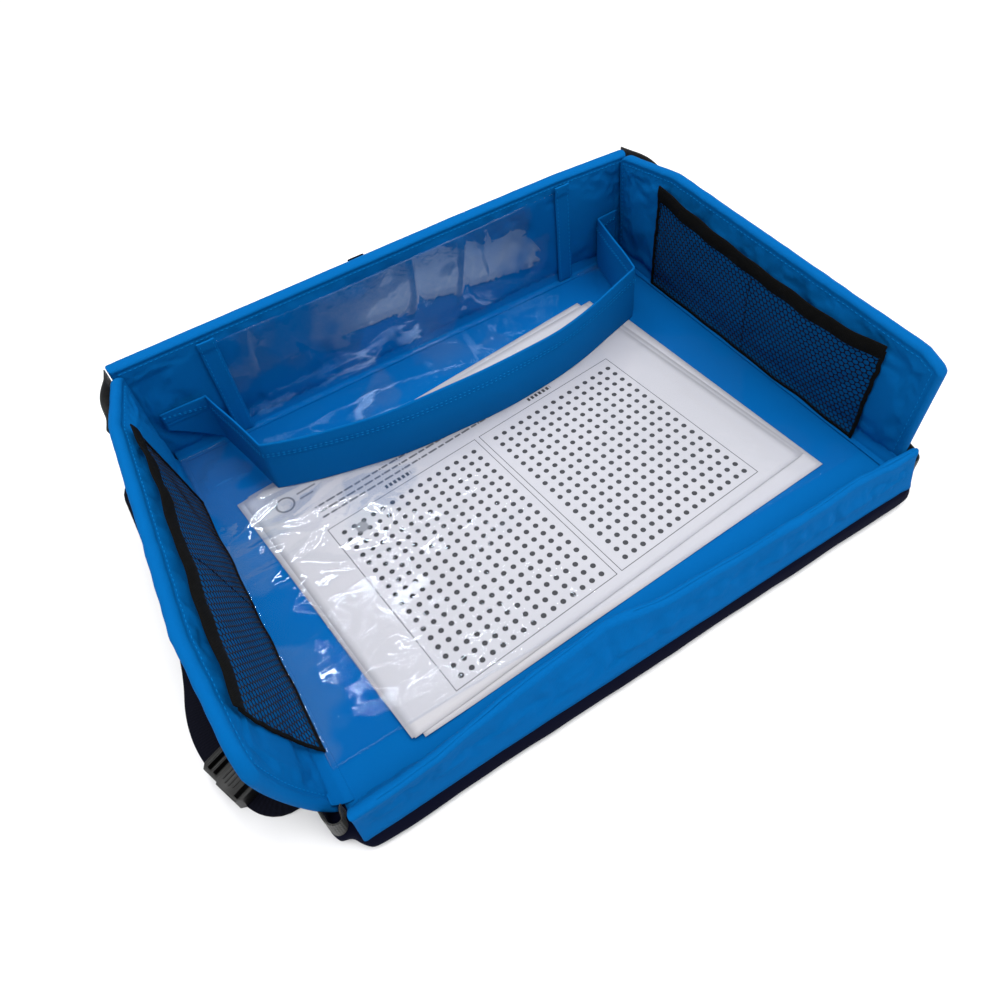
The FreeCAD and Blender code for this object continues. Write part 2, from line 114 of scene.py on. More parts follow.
class Term:  # a shader value that can be written in sums
    def __init__(self, tree, socket):
        self.tree = tree
        self.socket = socket

    def step(self, operation, *values):
        node = self.tree.nodes.new("ShaderNodeMath")
        node.operation = operation
        for slot, value in zip(node.inputs, values):
            feed(self.tree, slot, value)
        return Term(self.tree, node.outputs[0])

    def __add__(self, other):
        return self.step("ADD", self, other)

    def __radd__(self, other):
        return self.step("ADD", other, self)

    def __sub__(self, other):
        return self.step("SUBTRACT", self, other)

    def __rsub__(self, other):
        return self.step("SUBTRACT", other, self)

    def __mul__(self, other):
        return self.step("MULTIPLY", self, other)

    def __rmul__(self, other):
        return self.step("MULTIPLY", other, self)

    def __truediv__(self, other):
        return self.step("DIVIDE", self, other)

    def __lt__(self, other):
        return self.step("LESS_THAN", self, other)

    def __gt__(self, other):
        return self.step("GREATER_THAN", self, other)

    def wave(self):
        return self.step("SINE", self)

    def size(self):
        return self.step("ABSOLUTE", self)

    def root(self):
        return self.step("SQRT", self)

    def most(self, other):
        return self.step("MAXIMUM", self, other)

    def least(self, other):
        return self.step("MINIMUM", self, other)

    def nearest(self):
        return self.step("ROUND", self)


def feed(tree, slot, value):
    if isinstance(value, Term):
        tree.links.new(value.socket, slot)
    elif isinstance(value, bpy.types.NodeSocket):
        tree.links.new(value, slot)
    elif value is not None:
        slot.default_value = value


class Finish:  # one material and its nodes
    def __init__(self, name):
        self.material = bpy.data.materials.new(name)
        self.material.use_nodes = True
        self.tree = self.material.node_tree
        self.shader = self.tree.nodes["Principled BSDF"]

    def node(self, kind, settings=None, values=None):
        made = self.tree.nodes.new("ShaderNode" + kind)
        for key, value in (settings or {}).items():
            if key == "stops":
                ramp = made.color_ramp
                while len(ramp.elements) < len(value):
                    ramp.elements.new(0.5)
                for element, (place, colour) in zip(ramp.elements, value):
                    element.position = place
                    element.color = (*colour, 1)
            else:
                setattr(made, key, value)
        for key, value in (values or {}).items():
            feed(self.tree, made.inputs[key], value)
        return made

    def term(self, node, key=0):
        return Term(self.tree, node.outputs[key])

    def uv(self, wide=1.0, tall=1.0):
        split = self.node("SeparateXYZ", {}, {0: self.node("TexCoord").outputs["UV"]})
        return self.term(split, "X") * wide, self.term(split, "Y") * tall

    def place(self):
        return self.node("TexCoord").outputs["Object"]

    def grain(self, scale, detail=3.0, rough=0.5):
        values = {"Vector": self.place(), "Scale": scale, "Detail": detail, "Roughness": rough}
        return self.term(self.node("TexNoise", {}, values), "Fac")

    def blend(self, share, first, second):
        made = self.node("Mix", {"data_type": "RGBA"}, {0: share})
        for slot, colour in ((6, first), (7, second)):
            if isinstance(colour, tuple):
                made.inputs[slot].default_value = (*colour, 1)
            else:
                feed(self.tree, made.inputs[slot], colour)
        return made.outputs[2]

    def bump(self, height, strength, distance, under=None):
        values = {"Height": height, "Strength": strength, "Distance": distance, "Normal": under}
        return self.node("Bump", {}, values).outputs["Normal"]

    def set(self, **values):
        for key, value in values.items():
            slot = self.shader.inputs[key.replace("_", " ")]
            if isinstance(value, tuple) and len(value) == 3:
                value = (*value, 1)
            feed(self.tree, slot, value)
        return self.material


def weave(made, pitch):  # plain weave on the piece's own map, in metres
    u, v = made.uv(2 * math.pi / pitch, 2 * math.pi / pitch)
    return (u.wave() * v.wave()).size()


woven = {  # grain sizes, then how much each one colours and raises the cloth
    "slub": 900,
    "cloud": 14,
    "handle": 120,
    "wear": 0.25,
    "slubShare": 0.35,
    "threadShare": 0.35,
    "lightest": 0.05,
    "roughSpread": 0.18,
    "softBump": (0.12, 0.001),
    "threadBump": (0.35, 0.00025),
}


def fabricFinish(name, dark, light, pitch=0.0011, rough=0.72, sheen=0.35, tint=(1, 1, 1)):
    made = Finish(name)
    threads = weave(made, pitch)
    slub = made.grain(woven["slub"], 2)
    cloud = made.grain(woven["cloud"], 4, 0.6)
    share = cloud * woven["wear"] + slub * woven["slubShare"] + threads * woven["threadShare"]
    colour = made.blend((share + woven["lightest"]).least(1.0), dark, light)
    roughness = rough + (slub - 0.5) * woven["roughSpread"]
    soft = made.bump(made.grain(woven["handle"], 3), *woven["softBump"])
    normal = made.bump(threads + slub * 0.5, *woven["threadBump"], soft)
    return made.set(
        Base_Color=colour, Roughness=roughness, Normal=normal, Sheen_Weight=sheen, Sheen_Roughness=0.4,
        Sheen_Tint=tint, Specular_IOR_Level=0.03,
    )


def ribbedFinish(name, dark, light, pitch, rough, sheen, gloss=0.3):
    # webbing and elastic, with ribs across the length and a slanting rib under them
    made = Finish(name)
    u, v = made.uv(2 * math.pi / pitch, 2 * math.pi / pitch)
    ribs = (u.wave() * 0.5 + 0.5) * 0.7 + ((v * 0.5 + u * 0.5).wave() * 0.5 + 0.5) * 0.3
    fuzz = made.grain(1200, 2)
    colour = made.blend(ribs * 0.6 + fuzz * 0.4, dark, light)
    normal = made.bump(ribs + fuzz * 0.3, 0.5, 0.0004)
    return made.set(
        Base_Color=colour, Roughness=rough + fuzz * 0.15, Normal=normal,
        Sheen_Weight=sheen, Sheen_Roughness=0.45,
        Specular_IOR_Level=gloss,
    )


vinyl = {
    "waves": (2.6, 9.0),  # how much finer the creases and the fine grain are than the slow waves
    "creaseHeight": 0.06,
    "fineHeight": 0.035,
    "bumpDepth": 0.004,
    "glare": (0.72, 0.86, 1.0, 1),
    # painted reflection: the colour and share of a pale diffuse veil laid in the film's smooth patches
    "paintedReflection": (0.50, 0.72, 0.90, 1),
    "clear": (0.985, 0.99, 1.0, 1),
    "paintedReflectionShare": 0.045,
    "patch": (0.53, 30),  # where the smooth patches start, and how sharp their edges are
    "patchGloss": 0.45,
    "plainGloss": 0.22,
    "calmEdge": (9, 30),
    "calmGloss": 0.12,
}


def filmFinish(name, crease, strength, gloss, calm=None):
    # soft clear vinyl: glossy where it lies smooth, with fine creases, quieter past calm = (X, Y); a pale
    # bluish diffuse veil in its smooth patches is painted reflection
    made = Finish(name)
    if calm:
        split = made.node("SeparateXYZ", {}, {0: made.place()})
        left = ((calm[0] - made.term(split, "X")) * vinyl["calmEdge"][0]).most(0.0)
        back = ((made.term(split, "Y") - calm[1]) * vinyl["calmEdge"][1]).most(0.0)
        gloss = (left + back + vinyl["calmGloss"]).least(1.0) * gloss
    slow = made.grain(crease, 2, 0.45)
    ridge = 1 - (made.grain(crease * vinyl["waves"][0], 2, 0.5) * 2 - 1).size() * 5
    fine = made.grain(crease * vinyl["waves"][1], 3, 0.5)
    height = slow + ridge.most(0.0) * vinyl["creaseHeight"] + fine * vinyl["fineHeight"]
    normal = made.bump(height, strength, vinyl["bumpDepth"])
    glare = made.node("BsdfGlossy", {}, {"Color": vinyl["glare"], "Roughness": 0.03, "Normal": normal})
    # painted reflection: a pale diffuse shader, mixed in below where the smooth patches would reflect the
    # window
    paintedReflection = made.node("BsdfDiffuse", {}, {"Color": vinyl["paintedReflection"]})
    clear = made.node("BsdfTransparent", {}, {"Color": vinyl["clear"]})
    edge = made.term(made.node("Fresnel", {}, {"IOR": 1.5, "Normal": normal}), 0)
    start, sharp = vinyl["patch"]
    patch = ((made.grain(crease * 0.55, 3, 0.5) - start) * sharp).most(0.0).least(1.0)
    lit = made.grain(crease * 2, 2) * 0.5 + 0.5
    paintedReflectionWeight = patch * lit * gloss * vinyl["paintedReflectionShare"]
    paintedReflectionMix = made.node("MixShader", {}, {0: paintedReflectionWeight, 1: clear.outputs[0], 2: paintedReflection.outputs[0]})
    shine = edge * (patch * vinyl["patchGloss"] + vinyl["plainGloss"]) * gloss
    both = made.node("MixShader", {}, {0: shine, 1: paintedReflectionMix.outputs[0], 2: glare.outputs[0]})
    made.tree.nodes.remove(made.shader)
    made.tree.links.new(both.outputs[0], made.tree.nodes["Material Output"].inputs["Surface"])
    return made.material


def plasticFinish(name, colour, rough):
    made = Finish(name)
    flow = made.grain(60, 3)
    pits = made.grain(2500, 2)
    scuff = (made.grain(25, 5, 0.7) - 0.52).most(0.0) * 4.0
    worn = tuple(c * 2.2 + 0.01 for c in colour)
    shade = made.blend((flow * 0.3 + scuff * 0.3).least(1.0), colour, worn)
    return made.set(
        Base_Color=shade, Roughness=rough + pits * 0.12 + scuff * 0.2, Normal=made.bump(pits, 0.12, 0.0002)
    )


printing = {  # millimetres on the sheet, from its lower left corner
    "games": [(39.8, 141.6, 32.6, 148.2), (160.2, 260.9, 152.4, 266.4)],  # first and last dot, frame sides
    "columns": 15,
    "rows": 18,
    "lowDot": 14.6,
    "highDot": 143.4,
    "frameLow": 8.8,
    "frameHigh": 151.8,
    "dot": 1.75,
    "line": 0.28,
    "title": (11, 9, 157.2, 1.5),  # reach to the left and right of the middle, height, half thickness
    "rules": ((173.4, 266), (168.2, 262), (163.0, 210)),  # height and end of each line of dashes
    "ruleStart": 35,
    "ruleHalf": 0.8,
    "ring": (21, 189, 6, 0.7),  # centre, radius and half thickness
    "bars": ((31, 45, 192), (31, 41, 187)),
}


printColours = {
    "paper": ((0.435, 0.425, 0.445), (0.51, 0.50, 0.515)),
    "ink": (0.012, 0.012, 0.015),
    "example": (0.14, 0.14, 0.15),
}


def paperFinish(name, printed):
    made = Finish(name)
    fibre = made.grain(700, 4)
    tone = made.grain(9, 3)
    colour = made.blend(tone * 0.5 + fibre * 0.2, *printColours["paper"])
    if printed:
        ink = printedInk(made)
        speckle = made.grain(5000, 2)
        colour = made.blend((ink * (0.86 + speckle * 0.14)).least(1.0), colour, printColours["ink"])
        square = exampleSquare(made) * (0.55 + speckle * 0.3)
        colour = made.blend(square, colour, printColours["example"])
    normal = made.bump(fibre, 0.15, 0.0002)
    return made.set(Base_Color=colour, Roughness=0.62 + fibre * 0.15, Normal=normal, Specular_IOR_Level=0.3)


def inside(value, low, high):
    return (value > low) * (value < high)


def ruledLine(u, v, low, high, level, half):  # a level line from low to high
    return inside(u, low, high) * ((v - level).size() < half)


def printedInk(made):
    u, v = made.uv(1000.0, 1000.0)
    p = printing
    ink = None
    rise = (p["highDot"] - p["lowDot"]) / (p["rows"] - 1)
    for first, last, left, right in p["games"]:
        run = (last - first) / (p["columns"] - 1)
        column, line = (u - first) / run, (v - p["lowDot"]) / rise
        across, down = (column - column.nearest()) * run, (line - line.nearest()) * rise
        dots = (across * across + down * down).root() < p["dot"]
        dots = dots * inside(u, first - 2, last + 2) * inside(v, p["lowDot"] - 2, p["highDot"] + 2)
        edge = p["line"] * 1.6
        outer = inside(u, left - edge, right + edge) * inside(v, p["frameLow"] - edge, p["frameHigh"] + edge)
        inner = inside(u, left, right) * inside(v, p["frameLow"], p["frameHigh"])
        before, after, level, half = p["title"]
        middle = (left + right) / 2
        title = inside(u, middle - before, middle + after) * ((v - level).size() < half)
        bars = (u * 1.9).wave() > -0.35  # word-like dashes, no letters
        marks = dots.most(outer - inner).most(title * bars)
        ink = marks if ink is None else ink.most(marks)
    for level, end in p["rules"]:
        gaps = ((u * 0.9 + level).wave() + (u * 2.3 + level * 2).wave() * 0.6) > -0.75
        ink = ink.most(ruledLine(u, v, p["ruleStart"], end, level, p["ruleHalf"]) * gaps * 0.8)
    x, y, radius, half = p["ring"]
    ring = (((u - x) * (u - x) + (v - y) * (v - y)).root() - radius).size() < half
    upper, lower = (ruledLine(u, v, *bar, p["ruleHalf"]) for bar in p["bars"])
    return ink.most(ring * 0.7).most(upper.most(lower) * 0.6)


def exampleSquare(made):
    u, v = made.uv(1000.0, 1000.0)
    p = printing
    first, last = p["games"][0][:2]
    run = (last - first) / (p["columns"] - 1)
    rise = (p["highDot"] - p["lowDot"]) / (p["rows"] - 1)
    across = inside(u, first + run * 0.95, first + run * 2.05)
    return across * inside(v, p["highDot"] - rise * 1.05, p["highDot"] + rise * 0.05)


blueTint = (0.02, 0.35, 0.8)
finishes = {
    "blue": fabricFinish(
        "blue_woven_polyester", (0.0002, 0.082, 0.285), (0.0006, 0.120, 0.365), rough=0.8, sheen=0.06,
        tint=blueTint,
    ),
    "navy": fabricFinish(
        "navy_woven_polyester", (0.0014, 0.0017, 0.007), (0.0045, 0.0052, 0.016), rough=0.85, sheen=0.05,
        tint=(0.3, 0.35, 0.6),
    ),
    "net": fabricFinish(
        "black_knitted_net", (0.0015, 0.0018, 0.004), (0.005, 0.0055, 0.012), 0.0006, 0.7, 0.05
    ),
    "elastic": ribbedFinish(
        "black_ribbed_elastic", (0.0015, 0.0015, 0.0015), (0.005, 0.005, 0.0045), 0.0011, 0.85, 0.0, 0.08
    ),
    "webbing": ribbedFinish(
        "navy_webbing", (0.0011, 0.0013, 0.004), (0.004, 0.0045, 0.011), 0.0016, 0.85, 0.02, 0.1
    ),
    "tab": ribbedFinish(
        "black_touch_tape", (0.010, 0.010, 0.009), (0.032, 0.032, 0.028), 0.0012, 0.45, 0.05
    ),
    # the thread is the fabric's own blue, drawn lighter as a painted highlight so the stitches read as lit
    # dashes
    "thread": fabricFinish(
        "blue_thread_painted_highlight", (0.0008, 0.14, 0.42), (0.002, 0.24, 0.60), 0.0004, 0.6, 0.1, tint=blueTint
    ),
    "film": filmFinish("clear_vinyl_floor", 20, 0.22, 0.5, calm=(0.0, 0.10)),
    "pocketFilm": filmFinish("clear_vinyl_pocket", 18, 0.18, 0.48),
    "paper": paperFinish("plain_paper", False),
    "print": paperFinish("printed_paper", True),
    "foam": fabricFinish("white_wadding", (0.62, 0.60, 0.55), (0.84, 0.83, 0.79), 0.002, 0.95, 0.1),
    "board": plasticFinish("grey_sheet_plastic", (0.06, 0.06, 0.065), 0.45),
    "plastic": plasticFinish("black_moulded_plastic", (0.0025, 0.0025, 0.0025), 0.36),
}
print("finishes ready:", len(finishes))


# small helpers that every piece uses
def ripple(p, scale, seed=0.0):
    return noise.noise(Vector(p) * scale + Vector((seed, seed * 0.37, seed * 1.7)))


def smooth(value):
    value = min(max(value, 0.0), 1.0)
    return value * value * (3 - 2 * value)


def lerp(a, b, share):
    return a + (b - a) * share


def along(table, x):  # straight between the table's points, constant past them
    if x <= table[0][0]:
        return table[0][1]
    for (x0, y0), (x1, y1) in zip(table, table[1:]):
        if x <= x1:
            return lerp(y0, y1, (x - x0) / (x1 - x0))
    return table[-1][1]


def spread(share, power):  # grid lines that gather towards both ends
    half = abs(2 * share - 1)
    return 0.5 + math.copysign(0.5 * (1 - (1 - half) ** power), share - 0.5)


def cloth(bm, across, rows, place, size):
    layer = bm.loops.layers.uv.verify()
    made = bmesh.ops.create_grid(bm, x_segments=across, y_segments=rows, size=0.5)["verts"]
    mesh = {}
    for vert in made:
        s, t = vert.co.x + 0.5, vert.co.y + 0.5
        mesh[vert] = (s, t)
        vert.co = place(s, t)
    for face in {f for v in made for f in v.link_faces}:
        for loop in face.loops:
            s, t = mesh[loop.vert]
            loop[layer].uv = (s * size[0], t * size[1])
    return made


def piece(bm, name, body, finish, slot, thick=0.0, offset=-1.0, rounds=0, replaced=(), edge=0.0):
    mesh = bpy.data.meshes.new(name)
    bm.to_mesh(mesh)
    bm.free()
    made = bpy.data.objects.new(name, mesh)
    scene.collection.objects.link(made)
    mesh.materials.append(finishes[finish])
    mesh.shade_smooth()
    if thick:
        solid = made.modifiers.new("thickness", "SOLIDIFY")
        solid.thickness, solid.offset = thick, offset
    if edge:
        bevel = made.modifiers.new("edges", "BEVEL")
        bevel.width, bevel.segments, bevel.limit_method = edge, 2, "ANGLE"
    if rounds:
        soft = made.modifiers.new("soft", "SUBSURF")
        soft.levels = soft.render_levels = rounds
    if body:
        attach(made, body)
    if replaced:
        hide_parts(*replaced)
    return made


stitch = {"pitch": 0.0034, "length": 0.0023, "width": 0.0005}


def threadLine(bm, points, lift):
    # one small rounded bar for each stitch along the points, standing on the given normals
    run = 0.0
    for (a, na), (b, nb) in zip(zip(points, lift), list(zip(points, lift))[1:]):
        a, b = Vector(a), Vector(b)
        step = (b - a).length
        while run < step:
            middle = a.lerp(b, run / step)
            normal = Vector(na).lerp(Vector(nb), run / step).normalized()
            side = normal.cross((b - a).normalized())
            turn = Matrix(((b - a).normalized(), side, normal)).transposed().to_4x4()
            size = Matrix.Diagonal((stitch["length"], stitch["width"], stitch["width"], 1))
            placed = Matrix.Translation(middle) @ turn @ size
            bmesh.ops.create_icosphere(bm, subdivisions=1, radius=0.5, matrix=placed)
            run += stitch["pitch"]
        run -= step


def stitching(name, body, lines):
    bm = bmesh.new()
    for points, lift in lines:
        threadLine(bm, points, lift)
    piece(bm, name, body, "thread", "blue_fabric")


# the navy base under the floor
base = {
    "swell": 0.0022,
    "edge": 0.0046,
    "voxel": 0.004,
    "corner": 0.016,
    "well": 0.0016,  # how far the top sinks under the floor
    "seam": (0.0010, 0.002, 0.0011),  # depth, height over the middle and half width of the seam's groove
    "belly": [  # extra swelling of the front at each X
        (-0.20, 0.0045), (-0.165, 0.0048), (-0.11, 0.0030), (-0.02, 0.0026), (0.045, 0.0012), (0.153, 0.0),
    ],
}


def bevelled(bm, edges, width, segments):
    bmesh.ops.bevel(
        bm, geom=edges, offset=width, offset_type="OFFSET", segments=segments,
        profile=0.5, affect="EDGES", material=-1,
    )


def makeBase():
    low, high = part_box("base_cover")
    bm = bmesh.new()
    bmesh.ops.create_cube(bm, size=1.0)
    bmesh.ops.scale(bm, vec=high - low, verts=bm.verts)
    bmesh.ops.translate(bm, vec=(high + low) / 2, verts=bm.verts)
    upright = [e for e in bm.edges if abs(e.verts[0].co.z - e.verts[1].co.z) > 0.01]
    bevelled(bm, upright, base["corner"], 8)
    level = [e for e in bm.edges if abs(e.verts[0].co.z - e.verts[1].co.z) < 1e-5]
    rims = [e for e in level if len(e.link_faces) == 2 and any(abs(f.normal.z) > 0.9 for f in e.link_faces)]
    bevelled(bm, rims, base["edge"], 5)
    mesh = bpy.data.meshes.new("cover_blank")
    bm.to_mesh(mesh)
    bm.free()
    blank = bpy.data.objects.new("cover_blank", mesh)
    scene.collection.objects.link(blank)
    remesh = blank.modifiers.new("remesh", "REMESH")
    remesh.mode, remesh.voxel_size = "VOXEL", base["voxel"]
    relax = blank.modifiers.new("relax", "SMOOTH")
    relax.iterations, relax.factor = 2, 0.5
    ready = bpy.data.meshes.new_from_object(blank.evaluated_get(bpy.context.evaluated_depsgraph_get()))
    bpy.data.objects.remove(blank)
    bm = bmesh.new()
    bm.from_mesh(ready)
    layer = bm.loops.layers.uv.verify()
    floorLow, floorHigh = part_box("floor_liner")
    middle = (low.z + high.z) / 2
    deep, above, half = base["seam"]
    for vert in bm.verts:
        p = vert.co.copy()
        rim = min(high.x - abs(p.x), high.y - abs(p.y))
        near = smooth(1 - rim / 0.006)
        rise = (p.z - middle) / middle
        swell = base["swell"] * (1 - rise * rise * 0.7) + ripple(p, 26) * 0.0007 + ripple(p, 70, 3) * 0.0003
        seam = deep * math.exp(-((p.z - middle - above) / half) ** 2)
        push = Vector((p.x / high.x, p.y / high.y, 0))
        if push.length < 1e-6:
            push = Vector((0, 0, 0))
        else:
            push = Vector((push.x ** 9, push.y ** 9, 0)).normalized()
        if p.y < low.y + 0.03:
            swell += along(base["belly"], p.x) * smooth(1.15 - p.z / high.z)
        vert.co = p + push * (swell - seam) * near
        inward = min(floorHigh.x - abs(p.x), p.y - floorLow.y, floorHigh.y - p.y)
        if p.z > middle:
            vert.co.z -= base["well"] * smooth(inward / 0.004)
        vert.co.z = max(vert.co.z, 0.0)
    for face in bm.faces:
        n = face.normal
        for loop in face.loops:
            p = loop.vert.co
            loop[layer].uv = (p.x, p.y) if abs(n.z) > 0.6 else (p.x + p.y, p.z)
    cover = piece(
        bm, "base_cover_fabric", "tray_base", "navy", "navy_fabric", rounds=1, replaced=["base_cover"]
    )


liner = {"thick": 0.0012, "lift": 0.0004, "wave": 0.0003}


def makeFloor():
    low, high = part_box("floor_liner")
    size = high - low

    def place(s, t):
        p = Vector((lerp(low.x, high.x, s), lerp(low.y, high.y, t), high.z))
        rim = min(s * size.x, (1 - s) * size.x, t * size.y, (1 - t) * size.y)
        p.z += liner["lift"] * smooth(1 - rim / 0.02) + ripple(p, 30, 2) * liner["wave"] - liner["lift"]
        return p

    bm = bmesh.new()
    cloth(bm, 80, 60, place, (size.x, size.y))
    made = piece(
        bm, "floor_liner_fabric", "tray_base", "blue", "blue_fabric", liner["thick"], replaced=["floor_liner"]
    )


# the paper sheets and the clear film over them
def sheetCorners(node):
    # the flat box's lowest corner in Y starts the sheet, its farthest in X ends the long side
    points = [v.co.copy() for v in node.data.vertices]
    start = min(points, key=lambda p: p.y)
    end = max(points, key=lambda p: p.x)
    far = max(points, key=lambda p: p.y)
    top = max(p.z for p in points)
    return start, end - start, far - end, top


paper = {"thick": 0.00014, "curl": 0.012, "wave": 0.00012, "sink": 0.00005}


def makeSheets():
    stack = [n for n in sorted(nodes) if n.startswith("game_sheet")]
    for order, name in enumerate(stack):
        start, wide, tall, top = sheetCorners(nodes[name])
        wide.z = tall.z = 0

        def place(s, t, order=order):
            p = start + wide * s + tall * t
            curl = max(0.0, (1 - s) - 0.9) * paper["curl"] * smooth(1 - t * 3)
            p.z = top + curl + ripple(p, 16, order * 5.0) * paper["wave"] - paper["sink"]
            return p

        bm = bmesh.new()
        cloth(bm, 60, 42, place, (wide.length, tall.length))
        finish = "print" if name.endswith("top") else "paper"
        piece(bm, name + "_paper", "tray_base", finish, "paper", paper["thick"], replaced=[name])


film = {
    "thick": 0.00025,
    "wave": 0.0009,
    "fineWave": 0.00045,
    "stand": 0.0003,
    "fold": 0.0008,
    "quiet": 0.15,  # share of the folds left at the right and front, where the film lies smooth
}


def makeFilm():
    low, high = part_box("window_film")
    size = high - low

    def place(s, t):
        p = Vector((lerp(low.x, high.x, s), lerp(low.y, high.y, t), high.z))
        rim = min(s * size.x, (1 - s) * size.x, (1 - t) * size.y)
        free = smooth(rim / 0.02)
        wave = ripple(p, 11, 4) * film["wave"] + ripple(p, 34, 7) * film["fineWave"]
        fold = abs(ripple(Vector((p.x * 0.5, p.y * 1.6, 0)), 30, 9))
        busy = max(smooth((0.03 - p.x) / 0.12), smooth((p.y - 0.09) / 0.03))
        loose = film["quiet"] + (1 - film["quiet"]) * busy
        sharp = max(0.0, 0.12 - fold) / 0.12
        p.z += free * (film["stand"] + max(wave, -film["stand"]) + loose * film["fold"] * sharp)
        return p

    bm = bmesh.new()
    cloth(bm, 150, 110, place, (size.x, size.y))
    made = piece(
        bm, "floor_window_film", "tray_base", "film", "clear_film", film["thick"], replaced=["window_film"]
    )


# curves, and ribbons that follow them
def splinePoints(route):
    data = bpy.data.curves.new("route", "CURVE")
    data.dimensions = "3D"
    spline = data.splines.new("NURBS")
    spline.points.add(len(route) - 1)
    for point, place in zip(spline.points, route):
        point.co = (*place, 1)
    spline.order_u = 3
    spline.use_endpoint_u = True
    spline.resolution_u = 24
    holder = bpy.data.objects.new("route", data)
    scene.collection.objects.link(holder)
    mesh = bpy.data.meshes.new_from_object(holder)
    points = [v.co.copy() for v in mesh.vertices]
    bpy.data.objects.remove(holder)
    return points


class Line:  # a run of points, read by its share of the length
    def __init__(self, points):
        self.points = [Vector(p) for p in points]
        self.runs = [0.0]
        for a, b in zip(self.points, self.points[1:]):
            self.runs.append(self.runs[-1] + (b - a).length)
        self.length = self.runs[-1]

    def at(self, share):
        run = min(max(share, 0.0), 1.0) * self.length
        for i in range(1, len(self.runs)):
            if run <= self.runs[i] or i == len(self.runs) - 1:
                break
        a, b = self.points[i - 1], self.points[i]
        step = self.runs[i] - self.runs[i - 1]
        return a.lerp(b, (run - self.runs[i - 1]) / step if step else 0.0)

    def heading(self, share, reach=0.002):
        span = reach / self.length
        return (self.at(share + span) - self.at(share - span)).normalized()


def band(bm, line, wide, across, step=0.0025, rows=6, lift=None):
    # a ribbon along the line: across gives its width's direction, lift its height off the line
    count = max(4, round(line.length / step))

    def place(s, t):
        ahead = line.heading(s)
        side = across(ahead)
        normal = side.cross(ahead).normalized()
        return line.at(s) + side * (t - 0.5) * wide + normal * (lift(s, t) if lift else 0.0)

    return cloth(bm, count, rows, place, (line.length, wide))


def flatAcross(ahead):
    return Vector((0, 0, 1)).cross(ahead).normalized()


def uprightAcross(ahead):
    return Vector((0, 0, 1))


strap = {
    "route": [  # X and Y of the waist strap, from the buckle round the back to the right anchor
        (-0.2311, -0.0794), (-0.2403, -0.0540), (-0.224, 0.0), (-0.220, 0.110), (-0.221, 0.184),
        (0.224, 0.186), (0.222, 0.060), (0.223, -0.060), (0.2155, -0.111), (0.1982, -0.111),
    ],
    "width": 0.025,
    "thick": 0.0015,
    "height": 0.0011,
    "selvedge": 0.00035,
    "wave": 0.0003,
    "slack": ((-0.200, 0.0, 0.0), (-0.235, -0.070, 0.0)),  # two points, read below but not used
}


def makeStrap():
    points = splinePoints([(x, y, strap["height"]) for x, y in strap["route"]])
    line = Line(points)

    def lift(s, t):
        return strap["selvedge"] * (abs(2 * t - 1) > 0.8) + ripple((s * 9, t, 0), 1.0, 6) * strap["wave"]

    bm = bmesh.new()
    band(bm, line, strap["width"], flatAcross, 0.003, 10, lift)
    made = piece(bm, "waist_webbing", None, "webbing", "strap_webbing", strap["thick"], 0.0, edge=0.0003,
                 replaced=["waist_strap"])
    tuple(strap["slack"][0])
    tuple(strap["slack"][1])
    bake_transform(made)
    tuple(points[0])
    [tuple(p) for p in points]
    print("waist strap", round(line.length, 3), "m")


# the padded walls and the front lip
wall = {
    "bead": 0.0062,
    "beadSwell": 0.9,
    "groove": 0.74,
    "recover": 0.0012,
    "crown": 0.0022,
    "wave": 0.0011,
    "skin": 0.0008,
    "tuck": 0.0004,
    "hem": 0.0035,  # how far the blue lining is turned over the wall's edge
    "pucker": 0.00045,
    "corner": {"left": (0.020, 0.008), "right": (0.005, 0.007)},  # rounding of the front and back top corners
    "bow": {"left": 0.0056, "right": 0.0},  # how far the front end bellies outwards
}
lip = {
    "lean": [  # how far its top edge leans outwards at each X
        (-0.190, 0.0115), (-0.163, 0.0105), (-0.140, 0.0085), (-0.099, 0.0005), (-0.060, -0.003),
        (-0.033, -0.005), (0.002, 0.0), (0.042, 0.001), (0.098, 0.0032), (0.145, 0.001), (0.192, 0.004),
    ],
    "dip": 0.0011,
    "flare": [  # how far its outer cloth stands out at the foot, over the base's front edge
        (-0.19, 0.0125), (-0.165, 0.0120), (-0.11, 0.0105), (0.0, 0.0098), (0.15, 0.0085),
    ],
    "skirt": 0.0030,  # how far that cloth hangs down over the edge
    "fold": (0.0130, 0.0240),
    "bead": 0.005,
    "crown": 0.0004,
    "wave": 0.0008,
    "pucker": 0.0007,
}


def sections(node):
    # the wall's straight sections, front to back: Y, X at its foot and at its top, and both heights
    rows = {}
    for vert in node.data.vertices:
        rows.setdefault(round(vert.co.y, 4), []).append(vert.co)
    foot = min(v.co.z for v in node.data.vertices)
    made = []
    for y in sorted(rows):
        low = [p for p in rows[y] if p.z < foot + 1e-5]
        high = max(p.z for p in rows[y])
        top = [p for p in rows[y] if p.z > high - 1e-5]
        if low:
            made.append((y, min(abs(p.x) for p in low), min(abs(p.x) for p in top), foot, high))
    return made


